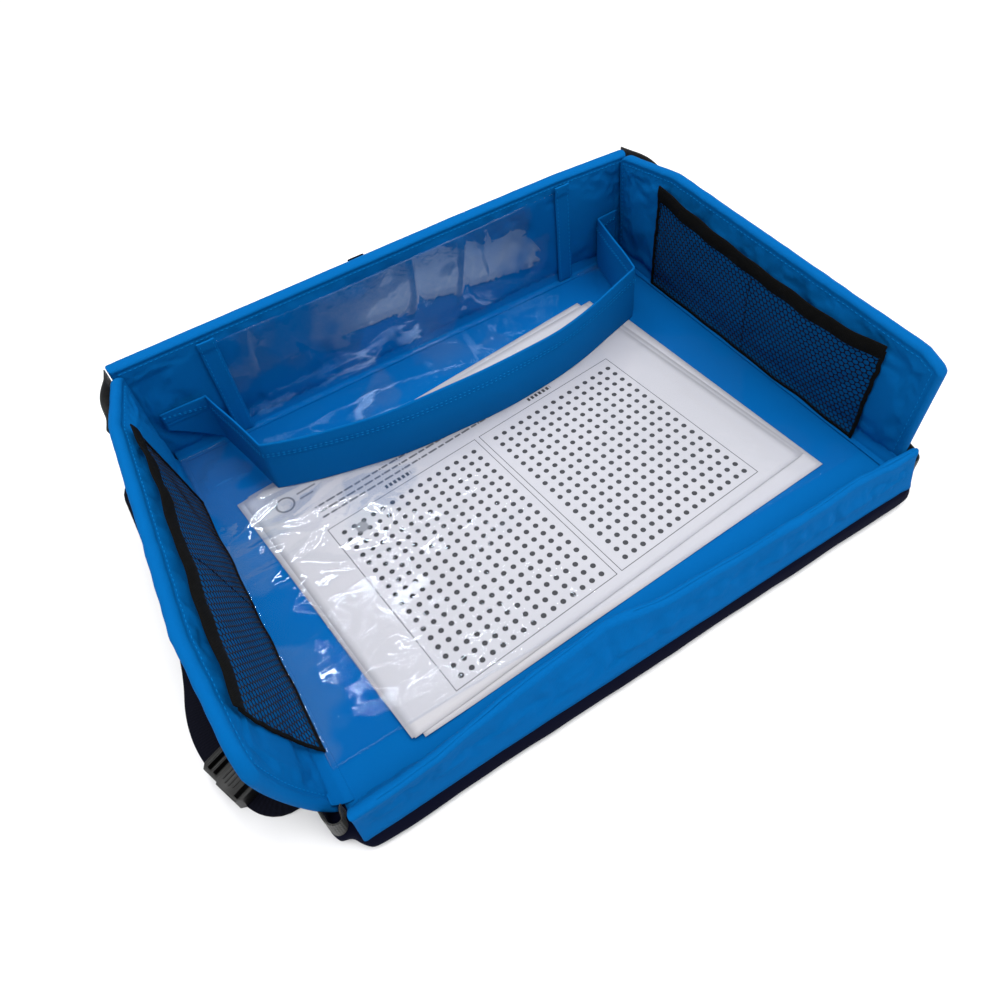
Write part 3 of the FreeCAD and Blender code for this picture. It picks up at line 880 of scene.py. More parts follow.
class SideWall:
    def __init__(self, name):
        self.name = name
        self.side = -1 if name == "left" else 1
        self.away = Vector((self.side, 0, 0))
        self.rows = sections(nodes[name + "_wall_liner"])
        self.thick = 0.008
        self.start, self.end, self.foot = self.rows[0][0], self.rows[-1][0], self.rows[0][3]
        self.seed = 5 + self.side

    def value(self, column, y):
        return along([(row[0], row[column]) for row in self.rows], y)

    def point(self, y, z, outward):
        share = (z - self.foot) / (self.value(4, y) - self.foot)
        front = math.exp(-(((y - self.start) / 0.05) ** 2))
        belly = math.sin(math.pi * min(max(share, 0.0), 1.0)) ** 0.7 * front
        outward += wall["bow"][self.name] * belly
        return Vector((self.side * (lerp(self.value(1, y), self.value(2, y), share) + outward), y, z))

    def top(self, y):
        fall = 0.0
        for radius, gap in zip(wall["corner"][self.name], (y - self.start, self.end - y)):
            if gap < radius:
                fall += radius - math.sqrt(max(0.0, radius ** 2 - (radius - gap) ** 2))
        return self.value(4, y) - fall


backFall = [(0.0477, 0), (0.1377, 0.001), (0.1977, 0.004)]  # X, and how far the back wall's top falls there


class BackWall:
    def __init__(self):
        low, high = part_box("back_wall_liner")
        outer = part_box("back_wall_backing")[1]
        self.away = Vector((0, 1, 0))
        self.inner, self.thick = low.y, outer.y - low.y
        self.start, self.end, self.foot = low.x, high.x, low.z
        self.high, self.seed = high.z, 11
        self.tops = [(x, self.high - fall) for x, fall in backFall]

    def point(self, x, z, outward):
        return Vector((x, self.inner + outward, z))

    def top(self, x):
        return along(self.tops, x)


class Lip(BackWall):
    def __init__(self):
        low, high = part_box("lip_cover")
        self.away = Vector((0, -1, 0))
        self.inner, self.thick = high.y, high.y - low.y
        self.start, self.end, self.foot = low.x, high.x, low.z
        self.high, self.seed = high.z, 23

    def point(self, x, z, outward):
        lean = along(lip["lean"], x) * ((z - self.foot) / (self.high - self.foot)) ** 1.5
        return Vector((x, self.inner - outward - lean, z))

    def flare(self, x, z):  # out and down over the base's edge, on the outer face only
        share = max(0.0, 1 - (z - self.foot) / (self.high - self.foot))
        out = along(lip["flare"], x) * share ** 1.6
        return Vector((0, -out, -lip["skirt"] * smooth((share - 0.8) / 0.2)))

    def top(self, x):
        return self.high - lip["dip"] * (1 + math.sin(x * 46) + 0.5 * math.sin(x * 113 + 1))


def padLevel(gap, inner, style):
    # how far the pad stands from its middle at a distance from its edge: a rolled bead, then the padding
    bead = style["bead"]
    rise = 1 - math.exp(-max(gap - (bead if inner else bead * 0.4), 0.0) / style["recover"])
    body = style["groove"] + (1 - style["groove"]) * rise
    if gap >= bead:
        return body
    roll = math.sqrt(max(0.0, 1 - ((gap - bead / 2) / (bead / 2)) ** 2)) * style["beadSwell"]
    return max(roll, body * smooth(gap / bead) if inner else body * min(1.0, gap / 0.002))


def padPoint(shape, s, t, inner, style):
    run = lerp(shape.start, shape.end, spread(s, 1.7))
    return onPad(shape, run, lerp(shape.foot, shape.top(run), 1 - (1 - t) ** 1.7), inner, style)


def onPad(shape, run, z, inner, style):
    high = shape.top(run)
    gap = min(high - z, run - shape.start, shape.end - run)
    level = padLevel(gap, inner, style)
    foot = lerp(0.45, 1.0, smooth((z - shape.foot) / 0.012))
    half = shape.thick / 2
    where = shape.point(run, z, half)
    middle = smooth(gap / 0.03) * smooth((z - shape.foot) / 0.02)
    near = math.exp(-((max(gap - 0.004, 0) / 0.013) ** 2))
    crease = ripple((run, z * 0.25, 0), 95, 3 + shape.seed) * near
    wave = ripple((run, z, 0), 17, shape.seed) * middle
    out = half * level * foot + style["crown"] * middle + style["wave"] * wave
    out += style["pucker"] * crease * (gap > 0)
    where += shape.away * (min(out, half * 1.35) * (-1 if inner else 1))
    return where if inner or not hasattr(shape, "flare") else where + shape.flare(run, z)


slack = {
    "frames": 18,
    "shrink": -0.03,
    "pressure": 0.9,
    "quality": 6,
    "mass": 0.15,
    "damping": 2.0,
    "stretch": 12,
    "shear": 6,
    "bend": 0.05,
    "pin": 5,
}


def wrinkle(obj, held, cap):
    # a short cloth simulation: cloth a little too large for its pinned seams, filled by a light pressure
    group = obj.vertex_groups.new(name="seams")
    start = [v.co.copy() for v in obj.data.vertices]
    for i, place in enumerate(start):
        group.add([i], held(place), "REPLACE")
    sim = obj.modifiers.new("cloth", "CLOTH")
    settings = sim.settings
    settings.quality, settings.mass = slack["quality"], slack["mass"]
    settings.air_damping = slack["damping"]
    settings.tension_stiffness = settings.compression_stiffness = slack["stretch"]
    settings.shear_stiffness, settings.bending_stiffness = slack["shear"], slack["bend"]
    settings.vertex_group_mass, settings.pin_stiffness = group.name, slack["pin"]
    settings.shrink_min = settings.shrink_max = slack["shrink"]
    settings.use_pressure, settings.uniform_pressure_force = True, slack["pressure"]
    settings.effector_weights.gravity = 0
    sim.collision_settings.use_collision = False
    sim.point_cache.frame_start, sim.point_cache.frame_end = 1, slack["frames"]
    for frameNumber in range(1, slack["frames"] + 1):
        scene.frame_set(frameNumber)
    shaped = obj.evaluated_get(bpy.context.evaluated_depsgraph_get()).to_mesh()
    moved = [v.co.copy() for v in shaped.vertices]
    obj.modifiers.remove(sim)
    obj.vertex_groups.remove(group)
    scene.frame_set(1)
    far = 0.0
    for vert, old, new in zip(obj.data.vertices, start, moved):
        step = new - old
        far = max(far, step.length)
        vert.co = old + step * min(1.0, cap / max(step.length, 1e-9))
    obj.data.update()
    print("  cloth", obj.name, "moved up to", round(far * 1000, 1), "mm")


def edgeGap(shape, p):  # how far a place is from the wall's nearest edge
    run = p.y if abs(shape.away.x) else p.x
    return min(shape.top(run) - p.z, run - shape.start, shape.end - run)


def makePad(shape, body, parts, across, rows, style, cap):
    # one closed grid folded round the wall's edge, parted into the blue lining and the navy outside
    bm = bmesh.new()
    mark = bm.faces.layers.int.new("side")
    size = (shape.end - shape.start, shape.high - shape.foot if hasattr(shape, "high") else 0.088)
    for inner in (1, 0):
        made = cloth(bm, across, rows, lambda s, t: padPoint(shape, s, t, inner, style), size)
        for face in {f for v in made for f in v.link_faces}:
            face[mark] = inner
    bmesh.ops.remove_doubles(bm, verts=bm.verts, dist=1e-6)
    bmesh.ops.recalc_face_normals(bm, faces=bm.faces)
    made = []
    for name, finish, slot, replaced in parts:
        half = bm.copy()
        side = half.faces.layers.int["side"]
        gone = []
        for face in half.faces:
            gap = edgeGap(shape, face.calc_center_median())
            blue = face[side] == 1 or gap < style["hem"]
            outer = face[side] == 0 and gap > style["hem"] * 0.3
            if not (outer if finish == "navy" else blue):
                gone.append(face)
        bmesh.ops.delete(half, geom=gone, context="FACES")
        if finish == "navy":  # tucked just under the lining's turned edge
            for vert in half.verts:
                vert.co -= vert.normal * style["tuck"]
        pad = piece(half, name, None, finish, slot, replaced=replaced)
        wrinkle(pad, lambda p: seamHold(shape, p, style), cap)
        solid = pad.modifiers.new("thickness", "SOLIDIFY")
        solid.thickness, solid.offset = style["skin"], -1
        if body:
            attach(pad, body)
        made.append(pad)
    bm.free()
    return made


core = {"margin": 0.0125, "footMargin": 0.006, "padding": (0.0030, 0.0034), "stiffener": (0.0031, 0.0018)}


def makeCores(shape, body):
    # the wadding and the stiff sheet inside a wall, drawn in from its seams
    foamEnd = shape.thick - core["padding"][1]
    boardStart, boardEnd = (shape.thick - depth for depth in core["stiffener"])
    for part, finish, slot, near, far in (
        ("padding", "foam", "foam", core["padding"][0], foamEnd),
        ("stiffener", "board", "stiff_board", boardStart, boardEnd),
    ):

        def place(s, t, depth=(near + far) / 2):
            run = lerp(shape.start + core["margin"], shape.end - core["margin"], s)
            high = shape.top(run) - core["margin"]
            return shape.point(run, lerp(shape.foot + core["footMargin"], high, t), depth)

        bm = bmesh.new()
        cloth(bm, 60, 16, place, (shape.end - shape.start, 0.08))
        piece(bm, f"{body}_{part}_core", body, finish, slot, far - near, 0.0, edge=0.0004,
              replaced=[f"{body}_{part}"])


walls = {name: SideWall(name) for name in ("left", "right")}
backWall = BackWall()
frontLip = Lip()


def seamHold(shape, p, style):  # 1 along the rolled edge and the fold, 0 in the middle of the pad
    gap = edgeGap(shape, p)
    rim = 1 - smooth((gap - style["bead"] * 0.9) / 0.005)
    return max(rim, 1 - smooth((p.z - shape.foot - 0.003) / 0.006), 0.0)


def sewWall(shape, body, style):
    # the row of stitches along the rolled edge, up both ends and over the top
    depth = style["bead"] + 0.0004
    left, right = shape.start + depth, shape.end - depth
    low, rise, run = shape.foot + 0.012, 25, 110
    path = [(left, lerp(low, shape.top(left) - depth, i / rise)) for i in range(rise + 1)]
    over = [lerp(left, right, i / run) for i in range(1, run)]
    path += [(place, shape.top(place) - depth) for place in over]
    path += [(right, lerp(shape.top(right) - depth, low, i / rise)) for i in range(rise + 1)]
    points = [onPad(shape, place, z, 1, style) - shape.away * 0.0002 for place, z in path]
    stitching(body + "_edge_stitches", body, [(points, [-shape.away] * len(points))])


flat = {"groove": 0.95, "beadSwell": 0.99, "bead": 0.0045}  # a wall whose seam hardly draws in
styles = {
    "left": wall,
    "right": dict(wall, **flat),
    "back": dict(wall, **dict(flat, groove=0.96, beadSwell=1.0, crown=0.0006, wave=0.0007, pucker=0.0002)),
    "lip": dict(
        wall, groove=0.95, beadSwell=1.0, hem=1.0, bead=lip["bead"],
        crown=lip["crown"], wave=lip["wave"], pucker=lip["pucker"],
    ),
}
padCap = {"left": 0.0016, "right": 0.0016, "back": 0.0008, "lip": 0.0016}  # how far cloth may wrinkle


def makeWalls():
    grids = {"left": (130, 44), "right": (130, 44), "back": (150, 40)}
    for name, shape in (*walls.items(), ("back", backWall)):
        body = name + "_wall"
        lining = (body + "_lining", "blue", "blue_fabric", [body + "_liner"])
        outer = (body + "_outer", "navy", "navy_fabric", [body + "_backing"])
        makePad(shape, body, [lining, outer], *grids[name], styles[name], padCap[name])
        makeCores(shape, body)
        sewWall(shape, body, styles[name])
    cover = ("lip_sleeve", "blue", "blue_fabric", ["lip_cover", "lip_padding"])
    sleeve = makePad(frontLip, None, [cover], 190, 24, styles["lip"], padCap["lip"])[0]
    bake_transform(sleeve)


hinge = {"floor": 0.0055, "rise": 0.0085, "lift": 0.0004, "sink": 0.0002, "bow": 0.0018, "thick": 0.0006}


def turnBow(t):  # the cloth humps a little before it turns up
    return (t * 2) ** 2.2 * hinge["bow"]


def makeHinges():
    # the liner's cloth turns up from the floor into each wall, across its fold
    for name, shape in walls.items():
        foot = shape.value(1, 0)
        edge = shape.side * (foot - hinge["floor"])

        def place(s, t, shape=shape, foot=foot):
            y = lerp(shape.start + 0.001, shape.end - 0.002, s)
            low = shape.foot + hinge["lift"] - hinge["sink"]
            if t < 0.5:
                x = foot - hinge["floor"] * (1 - smooth(t * 2) * 0.75)
                return Vector((shape.side * x, y, low + turnBow(t)))
            rise = (t - 0.5) * 2
            z = lerp(low + hinge["bow"], shape.foot + hinge["rise"], rise)
            stand = lerp(hinge["floor"] * 0.25, -0.0006, smooth(rise) ** 0.7)
            return shape.point(y, z, -stand - 0.0006 * (1 - rise))

        bm = bmesh.new()
        cloth(bm, 110, 10, place, (shape.end - shape.start, hinge["floor"] + hinge["rise"]))
        made = piece(bm, name + "_floor_turn", None, "blue", "blue_fabric", hinge["thick"], rounds=1)
        shape.side * foot
        shape.foot + hinge["rise"]
        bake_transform(made)
    reach = 0.1885

    def backTurn(s, t):
        x = lerp(-reach, reach, s)
        if t < 0.5:
            y = backWall.inner - hinge["floor"] * (1 - smooth(t * 2) * 0.8)
            return Vector((x, y, backWall.foot + hinge["lift"] - hinge["sink"] + turnBow(t)))
        rise = (t - 0.5) * 2
        z = lerp(backWall.foot + hinge["lift"] + 0.0016, backWall.foot + hinge["rise"], rise)
        return backWall.point(x, z, -lerp(hinge["floor"] * 0.2, -0.0006, smooth(rise) ** 0.7))

    bm = bmesh.new()
    cloth(bm, 120, 10, backTurn, (2 * reach, hinge["floor"] + hinge["rise"]))
    made = piece(bm, "back_wall_floor_turn", None, "blue", "blue_fabric", hinge["thick"], rounds=1)
    backWall.foot + hinge["rise"]
    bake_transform(made)


# the net pockets on the side walls
net = {
    "wide": 0.0041,
    "tall": 0.0045,
    "thread": 0.00016,
    "thick": 0.00026,
    "low": 0.0036,
    "mouth": {"left": 0.0068, "right": 0.0088},
    "drop": {"left": (0.001, 0.0), "right": (0.010, 0.001)},  # how far the mouth falls at its front and back
    "sag": 0.001,
    "elastic": 0.0013,
    "band": 0.0115,
    "binding": (0.0009, 0.0026),  # thickness and width of the tape round the net
    "seam": (34, 0.0009, 0.0006),  # stitches, half width and thread of the zigzag down the middle
}


class Pocket:
    def __init__(self, name):
        self.shape = walls[name]
        low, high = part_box(name + "_mesh_pocket")
        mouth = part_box(name + "_mesh_elastic")
        self.front, self.back, self.foot = low.y, high.y, low.z
        self.rim = mouth[1].z
        self.mouth, self.drop = net["mouth"][name], net["drop"][name]
        self.length = self.back - self.front

    def point(self, s, z, extra=0.0):
        y = lerp(self.front, self.back, s)
        rise = (z - self.foot) / (self.rim - self.foot)
        bow = 1 - abs(2 * s - 1) ** 4
        stand = net["low"] + (self.mouth - net["low"]) * bow * math.sin(min(rise, 1.0) * 1.9) / math.sin(1.9)
        stand += ripple((y, z, 0), 40, self.shape.seed) * 0.0012 * bow
        z -= (net["sag"] * math.sin(math.pi * s) + lerp(*self.drop, smooth(s))) * rise
        return self.shape.point(y, z, -stand - extra)


pockets = {name: Pocket(name) for name in walls}


def makeNet(name, pocket):
    tall = pocket.rim - net["band"] - pocket.foot + 0.002
    columns, rows = round(pocket.length / net["wide"]), round(tall / (net["tall"] * 0.75))
    wide = pocket.length / columns
    bm = bmesh.new()
    radius = net["tall"] / 2
    for row in range(rows + 1):
        for column in range(columns + row % 2):
            middle = ((column + 0.5 - 0.5 * (row % 2)) * wide, row * net["tall"] * 0.75, 0)
            turn = Matrix.Translation(middle) @ Matrix.Diagonal((wide / (radius * 3 ** 0.5), 1, 1, 1))
            bmesh.ops.create_circle(bm, cap_ends=True, radius=radius, segments=6, matrix=turn)
    bmesh.ops.remove_doubles(bm, verts=bm.verts, dist=wide * 0.1)
    holes = bmesh.ops.inset_individual(bm, faces=bm.faces[:], thickness=net["thread"])
    rings = set(holes["faces"])
    bmesh.ops.delete(bm, geom=[f for f in bm.faces if f not in rings], context="FACES_KEEP_BOUNDARY")
    layer = bm.loops.layers.uv.verify()
    for face in bm.faces:
        for loop in face.loops:
            loop[layer].uv = loop.vert.co.xy
    for vert in bm.verts:
        u, v = min(max(vert.co.x, 0), pocket.length), min(max(vert.co.y, 0), tall)
        vert.co = pocket.point(u / pocket.length, pocket.foot + v)
    bmesh.ops.recalc_face_normals(bm, faces=bm.faces)
    mesh = bpy.data.meshes.new(name)
    bm.to_mesh(mesh)
    bm.free()
    made = bpy.data.objects.new(name + "_net", mesh)
    scene.collection.objects.link(made)
    mesh.materials.append(finishes["net"])
    mesh.shade_smooth()
    soft = made.modifiers.new("soft", "SUBSURF")
    soft.levels = soft.render_levels = 1
    solid = made.modifiers.new("thickness", "SOLIDIFY")
    solid.thickness, solid.offset = net["thick"], 0
    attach(made, name + "_wall")
    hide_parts(name + "_mesh_pocket")


def makePockets():
    for name, pocket in pockets.items():
        makeNet(name, pocket)
        body = name + "_wall"
        rim = pocket.rim
        low = pocket.rim - net["band"]
        thick, wide = net["binding"]

        def sleeve(s, t):
            roll = 0.0009 * math.sin(math.pi * t) + 0.00035 * math.sin(s * 900)
            return pocket.point(s, lerp(low, rim, t), 0.0004 + roll)

        bm = bmesh.new()
        cloth(bm, 150, 8, sleeve, (pocket.length, rim - low))
        piece(bm, name + "_elastic_band", body, "elastic", "black_elastic", net["elastic"], 0.0, rounds=1,
              replaced=[name + "_mesh_elastic"])
        for end, share in (("front", 0.004), ("back", 0.996)):

            def binding(s, t, share=share):
                z = lerp(pocket.foot - 0.001, rim - 0.004, s)
                stray = 0.0012 * ripple((z * 9, share, 0), 22, 2) / pocket.length
                y = share + (t - 0.5) * wide / pocket.length + stray
                return pocket.point(y, z, 0.0006 * math.sin(math.pi * t) + 0.0002)

            bm = bmesh.new()
            cloth(bm, 40, 4, binding, (rim - pocket.foot, 0.004))
            piece(bm, f"{name}_net_binding_{end}", body, "elastic", "black_elastic", thick, 0.0, rounds=1)

        def hem(s, t):
            return pocket.point(s, pocket.foot + lerp(-0.001, 0.0010, t), 0.0005 * math.sin(math.pi * t))

        bm = bmesh.new()
        cloth(bm, 110, 4, hem, (pocket.length, 0.004))
        piece(bm, name + "_net_binding_low", body, "elastic", "black_elastic", thick, 0.0, rounds=1)
        bm = bmesh.new()
        count, half, thread = net["seam"]
        zigzag = []
        for i in range(count + 1):
            share = 0.5 + (half if i % 2 else -half) / pocket.length
            zigzag.append(pocket.point(share, lerp(pocket.foot, low, i / count), 0.0008))
        for a, b in zip(zigzag, zigzag[1:]):
            turn = (b - a).to_track_quat("X", "Z").to_matrix().to_4x4()
            size = Matrix.Diagonal(((b - a).length * 1.1, thread, thread, 1))
            placed = Matrix.Translation((a + b) / 2) @ turn @ size
            bmesh.ops.create_icosphere(bm, subdivisions=1, radius=0.5, matrix=placed)
        piece(bm, name + "_net_seam", body, "net", "black_mesh")


# the divider, the back wall's film pocket and the tapes
divider = {
    "hem": 0.0105,
    "skin": 0.0011,
    "leftEnd": 0.033,  # the straight ends, which run along the back wall
    "rightEnd": 0.019,
    "brimLow": 0.028,  # how far the ends' lower edge climbs
    "hemStep": 0.0005,
    "wave": 0.0016,
    "belly": (0.0045, 0.002),  # how far the middle bows out, and leans back at its top
    "stitches": (0.0088, 0.0106),  # depth of the two rows under the top edge
    "brimBack": 0.0012,
    "curve": [  # X from the left end or, below zero, from the right one, with its share of the depth
        (0.046, 0.31), (0.092, 0.125), (0.144, 0.02), (0.214, 0.0), (0.274, 0.07), (-0.036, 0.27),
    ],
}


def dividerLine():
    low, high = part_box("divider_band")
    front, brim, left, right = low.y, high.y, low.x, high.x
    deep = brim - front
    near = [((left if x > 0 else right) + x, front + deep * share, 0) for x, share in divider["curve"]]
    bow = [near[0]] + [tuple(p) for p in splinePoints(near)][1:]
    start, end = left + divider["leftEnd"], right - divider["rightEnd"]
    line = [(left, brim, 0), (start, brim - divider["brimBack"], 0)] + [tuple(p) for p in bow]
    return Line(line + [(end, brim - divider["brimBack"], 0), (right, brim, 0)]), low.z, high.z


def dividerOut(line, s):
    ahead = line.heading(s, 0.003)
    return Vector((ahead.y, -ahead.x, 0))


def makeDivider():
    line, foot, top = dividerLine()
    brim = divider["leftEnd"] / line.length
    tail = 1 - divider["rightEnd"] / line.length

    def place(s, t):
        low = foot
        if s < brim:
            low += divider["brimLow"] * (1 - s / brim) ** 0.8
        if s > tail:
            low += divider["brimLow"] * 0.6 * ((s - tail) / (1 - tail))
        rise = top + 0.0012 * math.sin(s * 17) - 0.0006
        z = lerp(low, rise, t)
        gap = rise - z
        step = divider["hemStep"] * (1 - smooth((gap - divider["hem"]) / 0.0012))
        step -= 0.0004 * math.exp(-(((gap - divider["hem"] + 0.0012) / 0.0008) ** 2))
        lean = (z - foot) / (top - foot)
        middle = math.exp(-(((s - 0.5) / 0.22) ** 2))
        bulge, back = divider["belly"]
        bow = bulge * middle * math.sin(math.pi * min(lean * 0.9, 1)) - back * middle * lean
        wave = divider["wave"] * ripple((s * line.length, z * 0.6, 0), 22, 31)
        wave *= smooth(s / 0.1) * smooth((1 - s) / 0.1)
        return line.at(s) + dividerOut(line, s) * (step + bow + wave) + Vector((0, 0, z))

    bm = bmesh.new()
    cloth(bm, 240, 30, place, (line.length, top - foot))
    made = piece(
        bm, "divider_cloth", "back_wall", "blue", "blue_fabric", divider["skin"], 0.0, replaced=["divider_band"]
    )
    round(top - foot, 3)
    print("divider", round(line.length, 3), round(top - foot, 3))
    places = [lerp(0.004, 0.996, i / 300) for i in range(301)]
    lines = []
    for depth in divider["stitches"]:
        t = 1 - depth / (top - foot)
        for side in (1, -1):
            outs = [dividerOut(line, s) for s in places]
            points = [place(s, t) + out * 0.0009 * side for s, out in zip(places, outs)]
            lines.append((points, [out * side for out in outs]))
    stitching("divider_stitches", "back_wall", lines)


def makeBackPocket():
    low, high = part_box("back_pocket_film")
    size = high - low

    def place(s, t):
        x, z = lerp(low.x, high.x, s), lerp(low.z, high.z, t)
        rim = min(s * size.x, (1 - s) * size.x, t * size.z)
        free = smooth(rim / 0.03)
        sag = 0.0015 * math.sin(math.pi * s) * t ** 2
        fold = abs(ripple((x * 1.5, 0, z * 0.35), 20, 12))
        wave = ripple((x, 0, z), 14, 13) * 0.0012 + 0.0008 * max(0.0, 0.1 - fold) / 0.1
        wave += ripple((x, 0, z), 50, 3) * 0.0002
        return Vector((x, low.y + 0.0003 - free * (0.0004 + wave) - sag, z))

    bm = bmesh.new()
    cloth(bm, 130, 50, place, (size.x, size.z))
    made = piece(bm, "back_pocket_sheet", "back_wall", "pocketFilm", "clear_film", film["thick"], 0.0,
                 replaced=["back_pocket_film"])
    lines = []
    for name in ("left", "right"):
        low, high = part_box("back_pocket_tape_" + name)
        wide = high.x - low.x

        def tape(s, t):
            z = lerp(low.z - 0.0008, high.z + 0.001, s)
            bulge = 0.0004 * (1 - abs(2 * t - 1) ** 4)
            y = low.y - 0.0008 - bulge + ripple((t, z, 0), 60, 21) * 0.0002
            hem = 0.0007 * smooth((s - 0.90) / 0.015)
            return Vector((lerp(low.x, high.x, t), y - hem, z))

        bm = bmesh.new()
        cloth(bm, 50, 10, tape, (high.z - low.z, wide))
        piece(bm, "pocket_tape_" + name, "back_wall", "blue", "blue_fabric", 0.0014, 0.0, edge=0.0003,
              replaced=["back_pocket_tape_" + name])
        for t in (0.13, 0.87):
            points = [tape(i / 40, t) + Vector((0, -0.0008, 0)) for i in range(41)]
            lines.append((points, [Vector((0, -1, 0))] * 41))
    stitching("pocket_tape_stitches", "back_wall", lines)


tab = {
    "skin": 0.0011,
    "share": 0.85,  # the front tape's width as a share of its box
    "bulge": 0.0045,
    "fold": (0.011, 0.028),
    "drop": (0, 0.003, 0.009, 0.011, 0.012, 0.012, 0.010, 0.009),  # its fall at each point of its route
}
loop = {"lowered": 0.0024, "gap": 0.0008}


def makeTabs():
    for name, shape in walls.items():
        body = name + "_wall"
        low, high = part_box(name + "_front_tab")
        side = shape.side
        edge = max(abs(low.x), abs(high.x)) - 0.0006
        bend = low.y + 0.0006
        inner = shape.value(1, shape.start)
        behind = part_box("lip_cover")[1].y + 0.0010
        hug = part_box("base_cover")[1].x + 0.0036
        route = [
            (edge, high.y), (lerp(edge, hug, 0.35), high.y - 0.014), (hug, bend + 0.013), (hug, bend + 0.004),
            (hug - 0.003, bend - 0.0003), (hug - 0.009, bend - 0.0005), (inner + 0.003, behind - 0.0010),
            (inner + 0.0006, behind),
        ]
        middle = (low.z + high.z) / 2
        line = Line(splinePoints([(x * side, y, middle - fall) for (x, y), fall in zip(route, tab["drop"])]))
        bm = bmesh.new()
        band(bm, line, (high.z - low.z) * tab["share"], uprightAcross, 0.0015, 12,
             lambda s, t: ripple((s * 3, t, 0), 2, 8) * 0.0006)
        made = piece(bm, name + "_front_tape", None, "tab", "tab_webbing", tab["skin"], 0.0, rounds=1,
                     replaced=[name + "_front_tab"])
        side * inner
        side * inner
        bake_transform(made)
        low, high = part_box(name + "_back_tab")

        def place(s, t, shape=shape, low=low, high=high):
            y, z = lerp(low.y, high.y, s), lerp(low.z, high.z, t)
            swell = tab["bulge"] * math.sin(math.pi * min(1, max(0, (s - 0.15) / 0.85))) ** 1.3
            stand = shape.thick + 0.0010 + swell * (0.75 + 0.25 * t)
            if y < shape.end:
                return shape.point(y, z, stand)
            return shape.point(shape.end, z, stand) + Vector((0, y - shape.end, 0))

        bm = bmesh.new()
        cloth(bm, 36, 20, place, (high.y - low.y, high.z - low.z))
        piece(bm, name + "_back_tape", body, "tab", "tab_webbing", tab["skin"], 0.0, rounds=1,
              replaced=[name + "_back_tab"])
    low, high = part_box("back_wall_loop")
    high.z -= loop["lowered"]
    x = (low.x + high.x) / 2
    inner = low.y + loop["gap"]
    route = [
        (x, inner, low.z), (x, inner, high.z - 0.004), (x, low.y + 0.0012, high.z),
        (x, high.y - 0.0006, high.z), (x, high.y - 0.0004, high.z - 0.006), (x, high.y - 0.0010, low.z),
    ]
    line = Line(splinePoints(route))
    bm = bmesh.new()
    band(bm, line, high.x - low.x, lambda ahead: Vector((1, 0, 0)), 0.0015, 6)
    piece(bm, "back_loop_webbing", "back_wall", "webbing", "strap_webbing", 0.0011, 0.0, rounds=1,
          replaced=["back_wall_loop"])


# the buckle and the short strap
buckle = {
    "turn": 110,
    "middle": (-0.229, -0.085),
    "bevel": 0.0011,
    "latchBevel": 0.0005,
    "socketRibs": (-0.0068, 0.0027, 4),  # the first one's place along the buckle, their pitch and count
    "plugRibs": (0.0048, 0.0099, 0.0149),
    "ribWide": 0.0012,
}


def cadCopy(node, name, body, bevel):  # a moulded part keeps its CAD shape, with rounded edges
    bm = bmesh.new()
    bm.from_mesh(nodes[node].data)
    bmesh.ops.remove_doubles(bm, verts=bm.verts, dist=1e-6)
    bmesh.ops.dissolve_limit(bm, angle_limit=0.02, verts=bm.verts, edges=bm.edges)
    mesh = bpy.data.meshes.new(name)
    bm.to_mesh(mesh)
    bm.free()
    made = bpy.data.objects.new(name, mesh)
    scene.collection.objects.link(made)
    mesh.materials.clear()
    mesh.materials.append(finishes["plastic"])
    mesh.shade_smooth()
    soft = made.modifiers.new("edges", "BEVEL")
    soft.width, soft.segments, soft.limit_method = bevel, 3, "ANGLE"
    soft.angle_limit = math.radians(25)
    soft.harden_normals = True
    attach(made, body)
    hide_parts(node)


def onBuckle(s, t, z):
    a = math.radians(buckle["turn"])
    x, y = buckle["middle"]
    return Vector((x + s * math.cos(a) - t * math.sin(a), y + s * math.sin(a) + t * math.cos(a), z))


def rib(bm, s, t, z, long, wide, high):
    turn = Matrix.Rotation(math.radians(buckle["turn"]), 4, "Z")
    size = Matrix.Diagonal((wide, long, high, 1))
    bmesh.ops.create_cube(bm, size=1.0, matrix=Matrix.Translation(onBuckle(s, t, z)) @ turn @ size)


def makeBuckle():
    cadCopy("buckle_socket", "buckle_socket_shell", "tray_base", buckle["bevel"])
    cadCopy("buckle_plug", "buckle_plug_shell", "buckle_plug", buckle["bevel"])
    cadCopy("buckle_latch_arms", "buckle_latch_shell", "buckle_plug", buckle["latchBevel"])
    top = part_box("buckle_socket")[1].z
    bm = bmesh.new()
    first, pitch, count = buckle["socketRibs"]
    for i in range(count):
        long = 0.024 - 0.0016 * abs(i - (count - 1) / 2)
        rib(bm, first + i * pitch, 0, top - 0.0001, long, buckle["ribWide"], 0.0016)
    piece(bm, "buckle_socket_ribs", "tray_base", "plastic", "black_plastic", edge=0.0004)
    bm = bmesh.new()
    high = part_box("buckle_plug")[1].z
    for s in buckle["plugRibs"]:
        rib(bm, s, 0, high - 0.0002, 0.022, buckle["ribWide"], 0.0013)
    piece(bm, "buckle_plug_ribs", "buckle_plug", "plastic", "black_plastic", edge=0.0004)


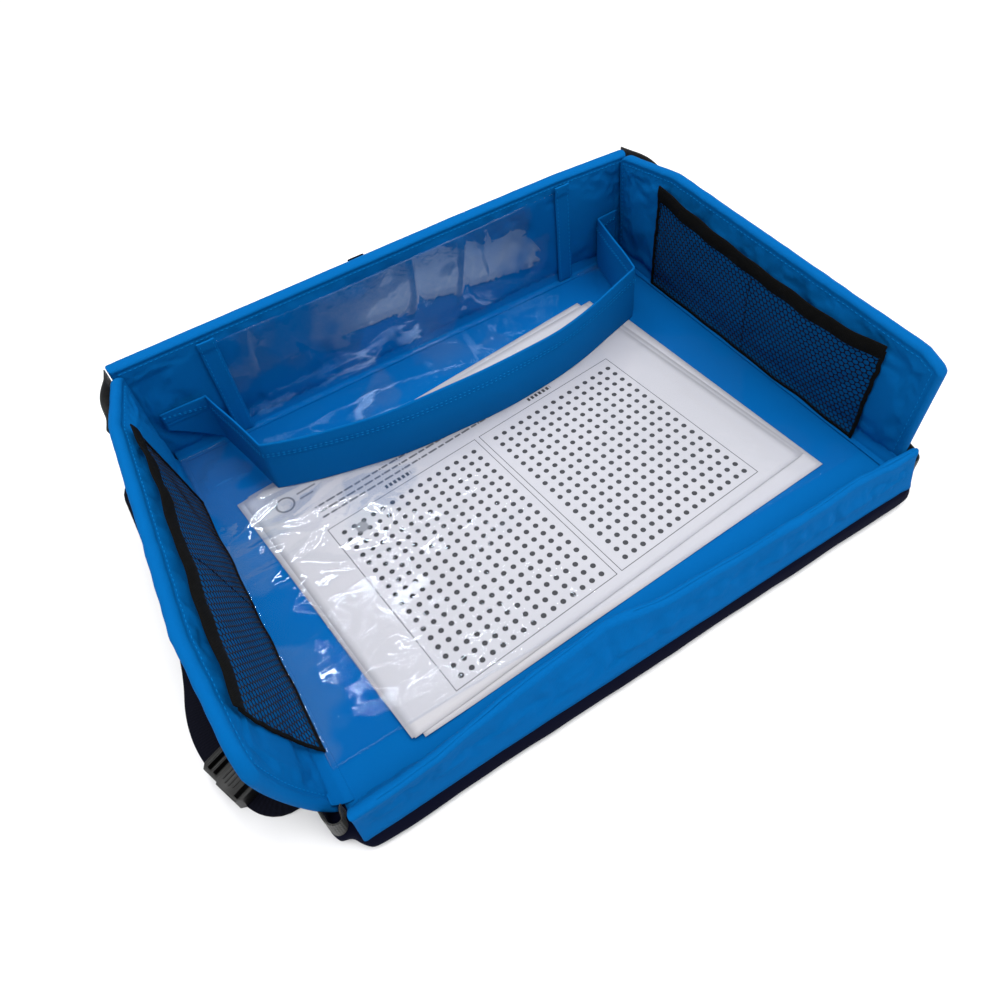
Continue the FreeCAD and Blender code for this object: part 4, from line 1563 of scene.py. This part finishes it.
def makeShortStrap():
    low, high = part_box("strap_short")
    z = (low.z + high.z) / 2
    start = Vector((high.x + 0.0005, (low.y + high.y) / 2 + 0.006, z))
    end = onBuckle(-0.0125, 0, z)
    near = onBuckle(-0.026, 0, z)
    route = [start, start + Vector((-0.006, -0.001, 0)), near, end]
    line = Line(splinePoints([tuple(p) for p in route]))
    bm = bmesh.new()
    band(bm, line, strap["width"], flatAcross, 0.002, 8)
    piece(bm, "short_webbing", "tray_base", "webbing", "strap_webbing", strap["thick"], 0.0, edge=0.0003,
          replaced=["strap_short"])
    for name in ("left", "right"):
        low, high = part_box("strap_anchor_" + name)
        side = -1 if name == "left" else 1
        face = max(abs(low.x), abs(high.x)) * side

        def place(s, t):
            y, z = lerp(low.y, high.y, s), lerp(low.z - 0.0006, high.z, t)
            return Vector((face - side * 0.0004 * (1 - math.sin(math.pi * t)), y, z))

        bm = bmesh.new()
        cloth(bm, 16, 10, place, (high.y - low.y, high.z - low.z))
        piece(bm, "anchor_patch_" + name, "tray_base", "webbing", "strap_webbing", 0.0011, 0.0, rounds=1,
              replaced=["strap_anchor_" + name])


def finishHidden():
    # the layers inside the pads keep their CAD shape and get their own finish
    for name, node in nodes.items():
        kind = "foam" if "padding" in name else "board" if "stiffener" in name or "board" in name else None
        if kind:
            node.data.materials.clear()
            node.data.materials.append(finishes[kind])


makeCamera()
makeLights()
makeStrap()
makeBase()
makeFloor()
makeSheets()
makeFilm()
print("base, sheets and film made")
makeWalls()
makeHinges()
print("walls and lip made")
makePockets()
makeDivider()
makeBackPocket()
makeTabs()
print("pockets, divider and tabs made")
makeBuckle()
makeShortStrap()
finishHidden()
print("buckle and straps made")

bm = bmesh.new()
bmesh.ops.create_grid(bm, x_segments=1, y_segments=1, size=6)
ground = bpy.data.meshes.new("ground")
bm.to_mesh(ground)
bm.free()
floor = bpy.data.objects.new("ground", ground)
scene.collection.objects.link(floor)
ground.materials.append(Finish("pale_floor").set(Base_Color=(0.86, 0.86, 0.87), Roughness=0.6))
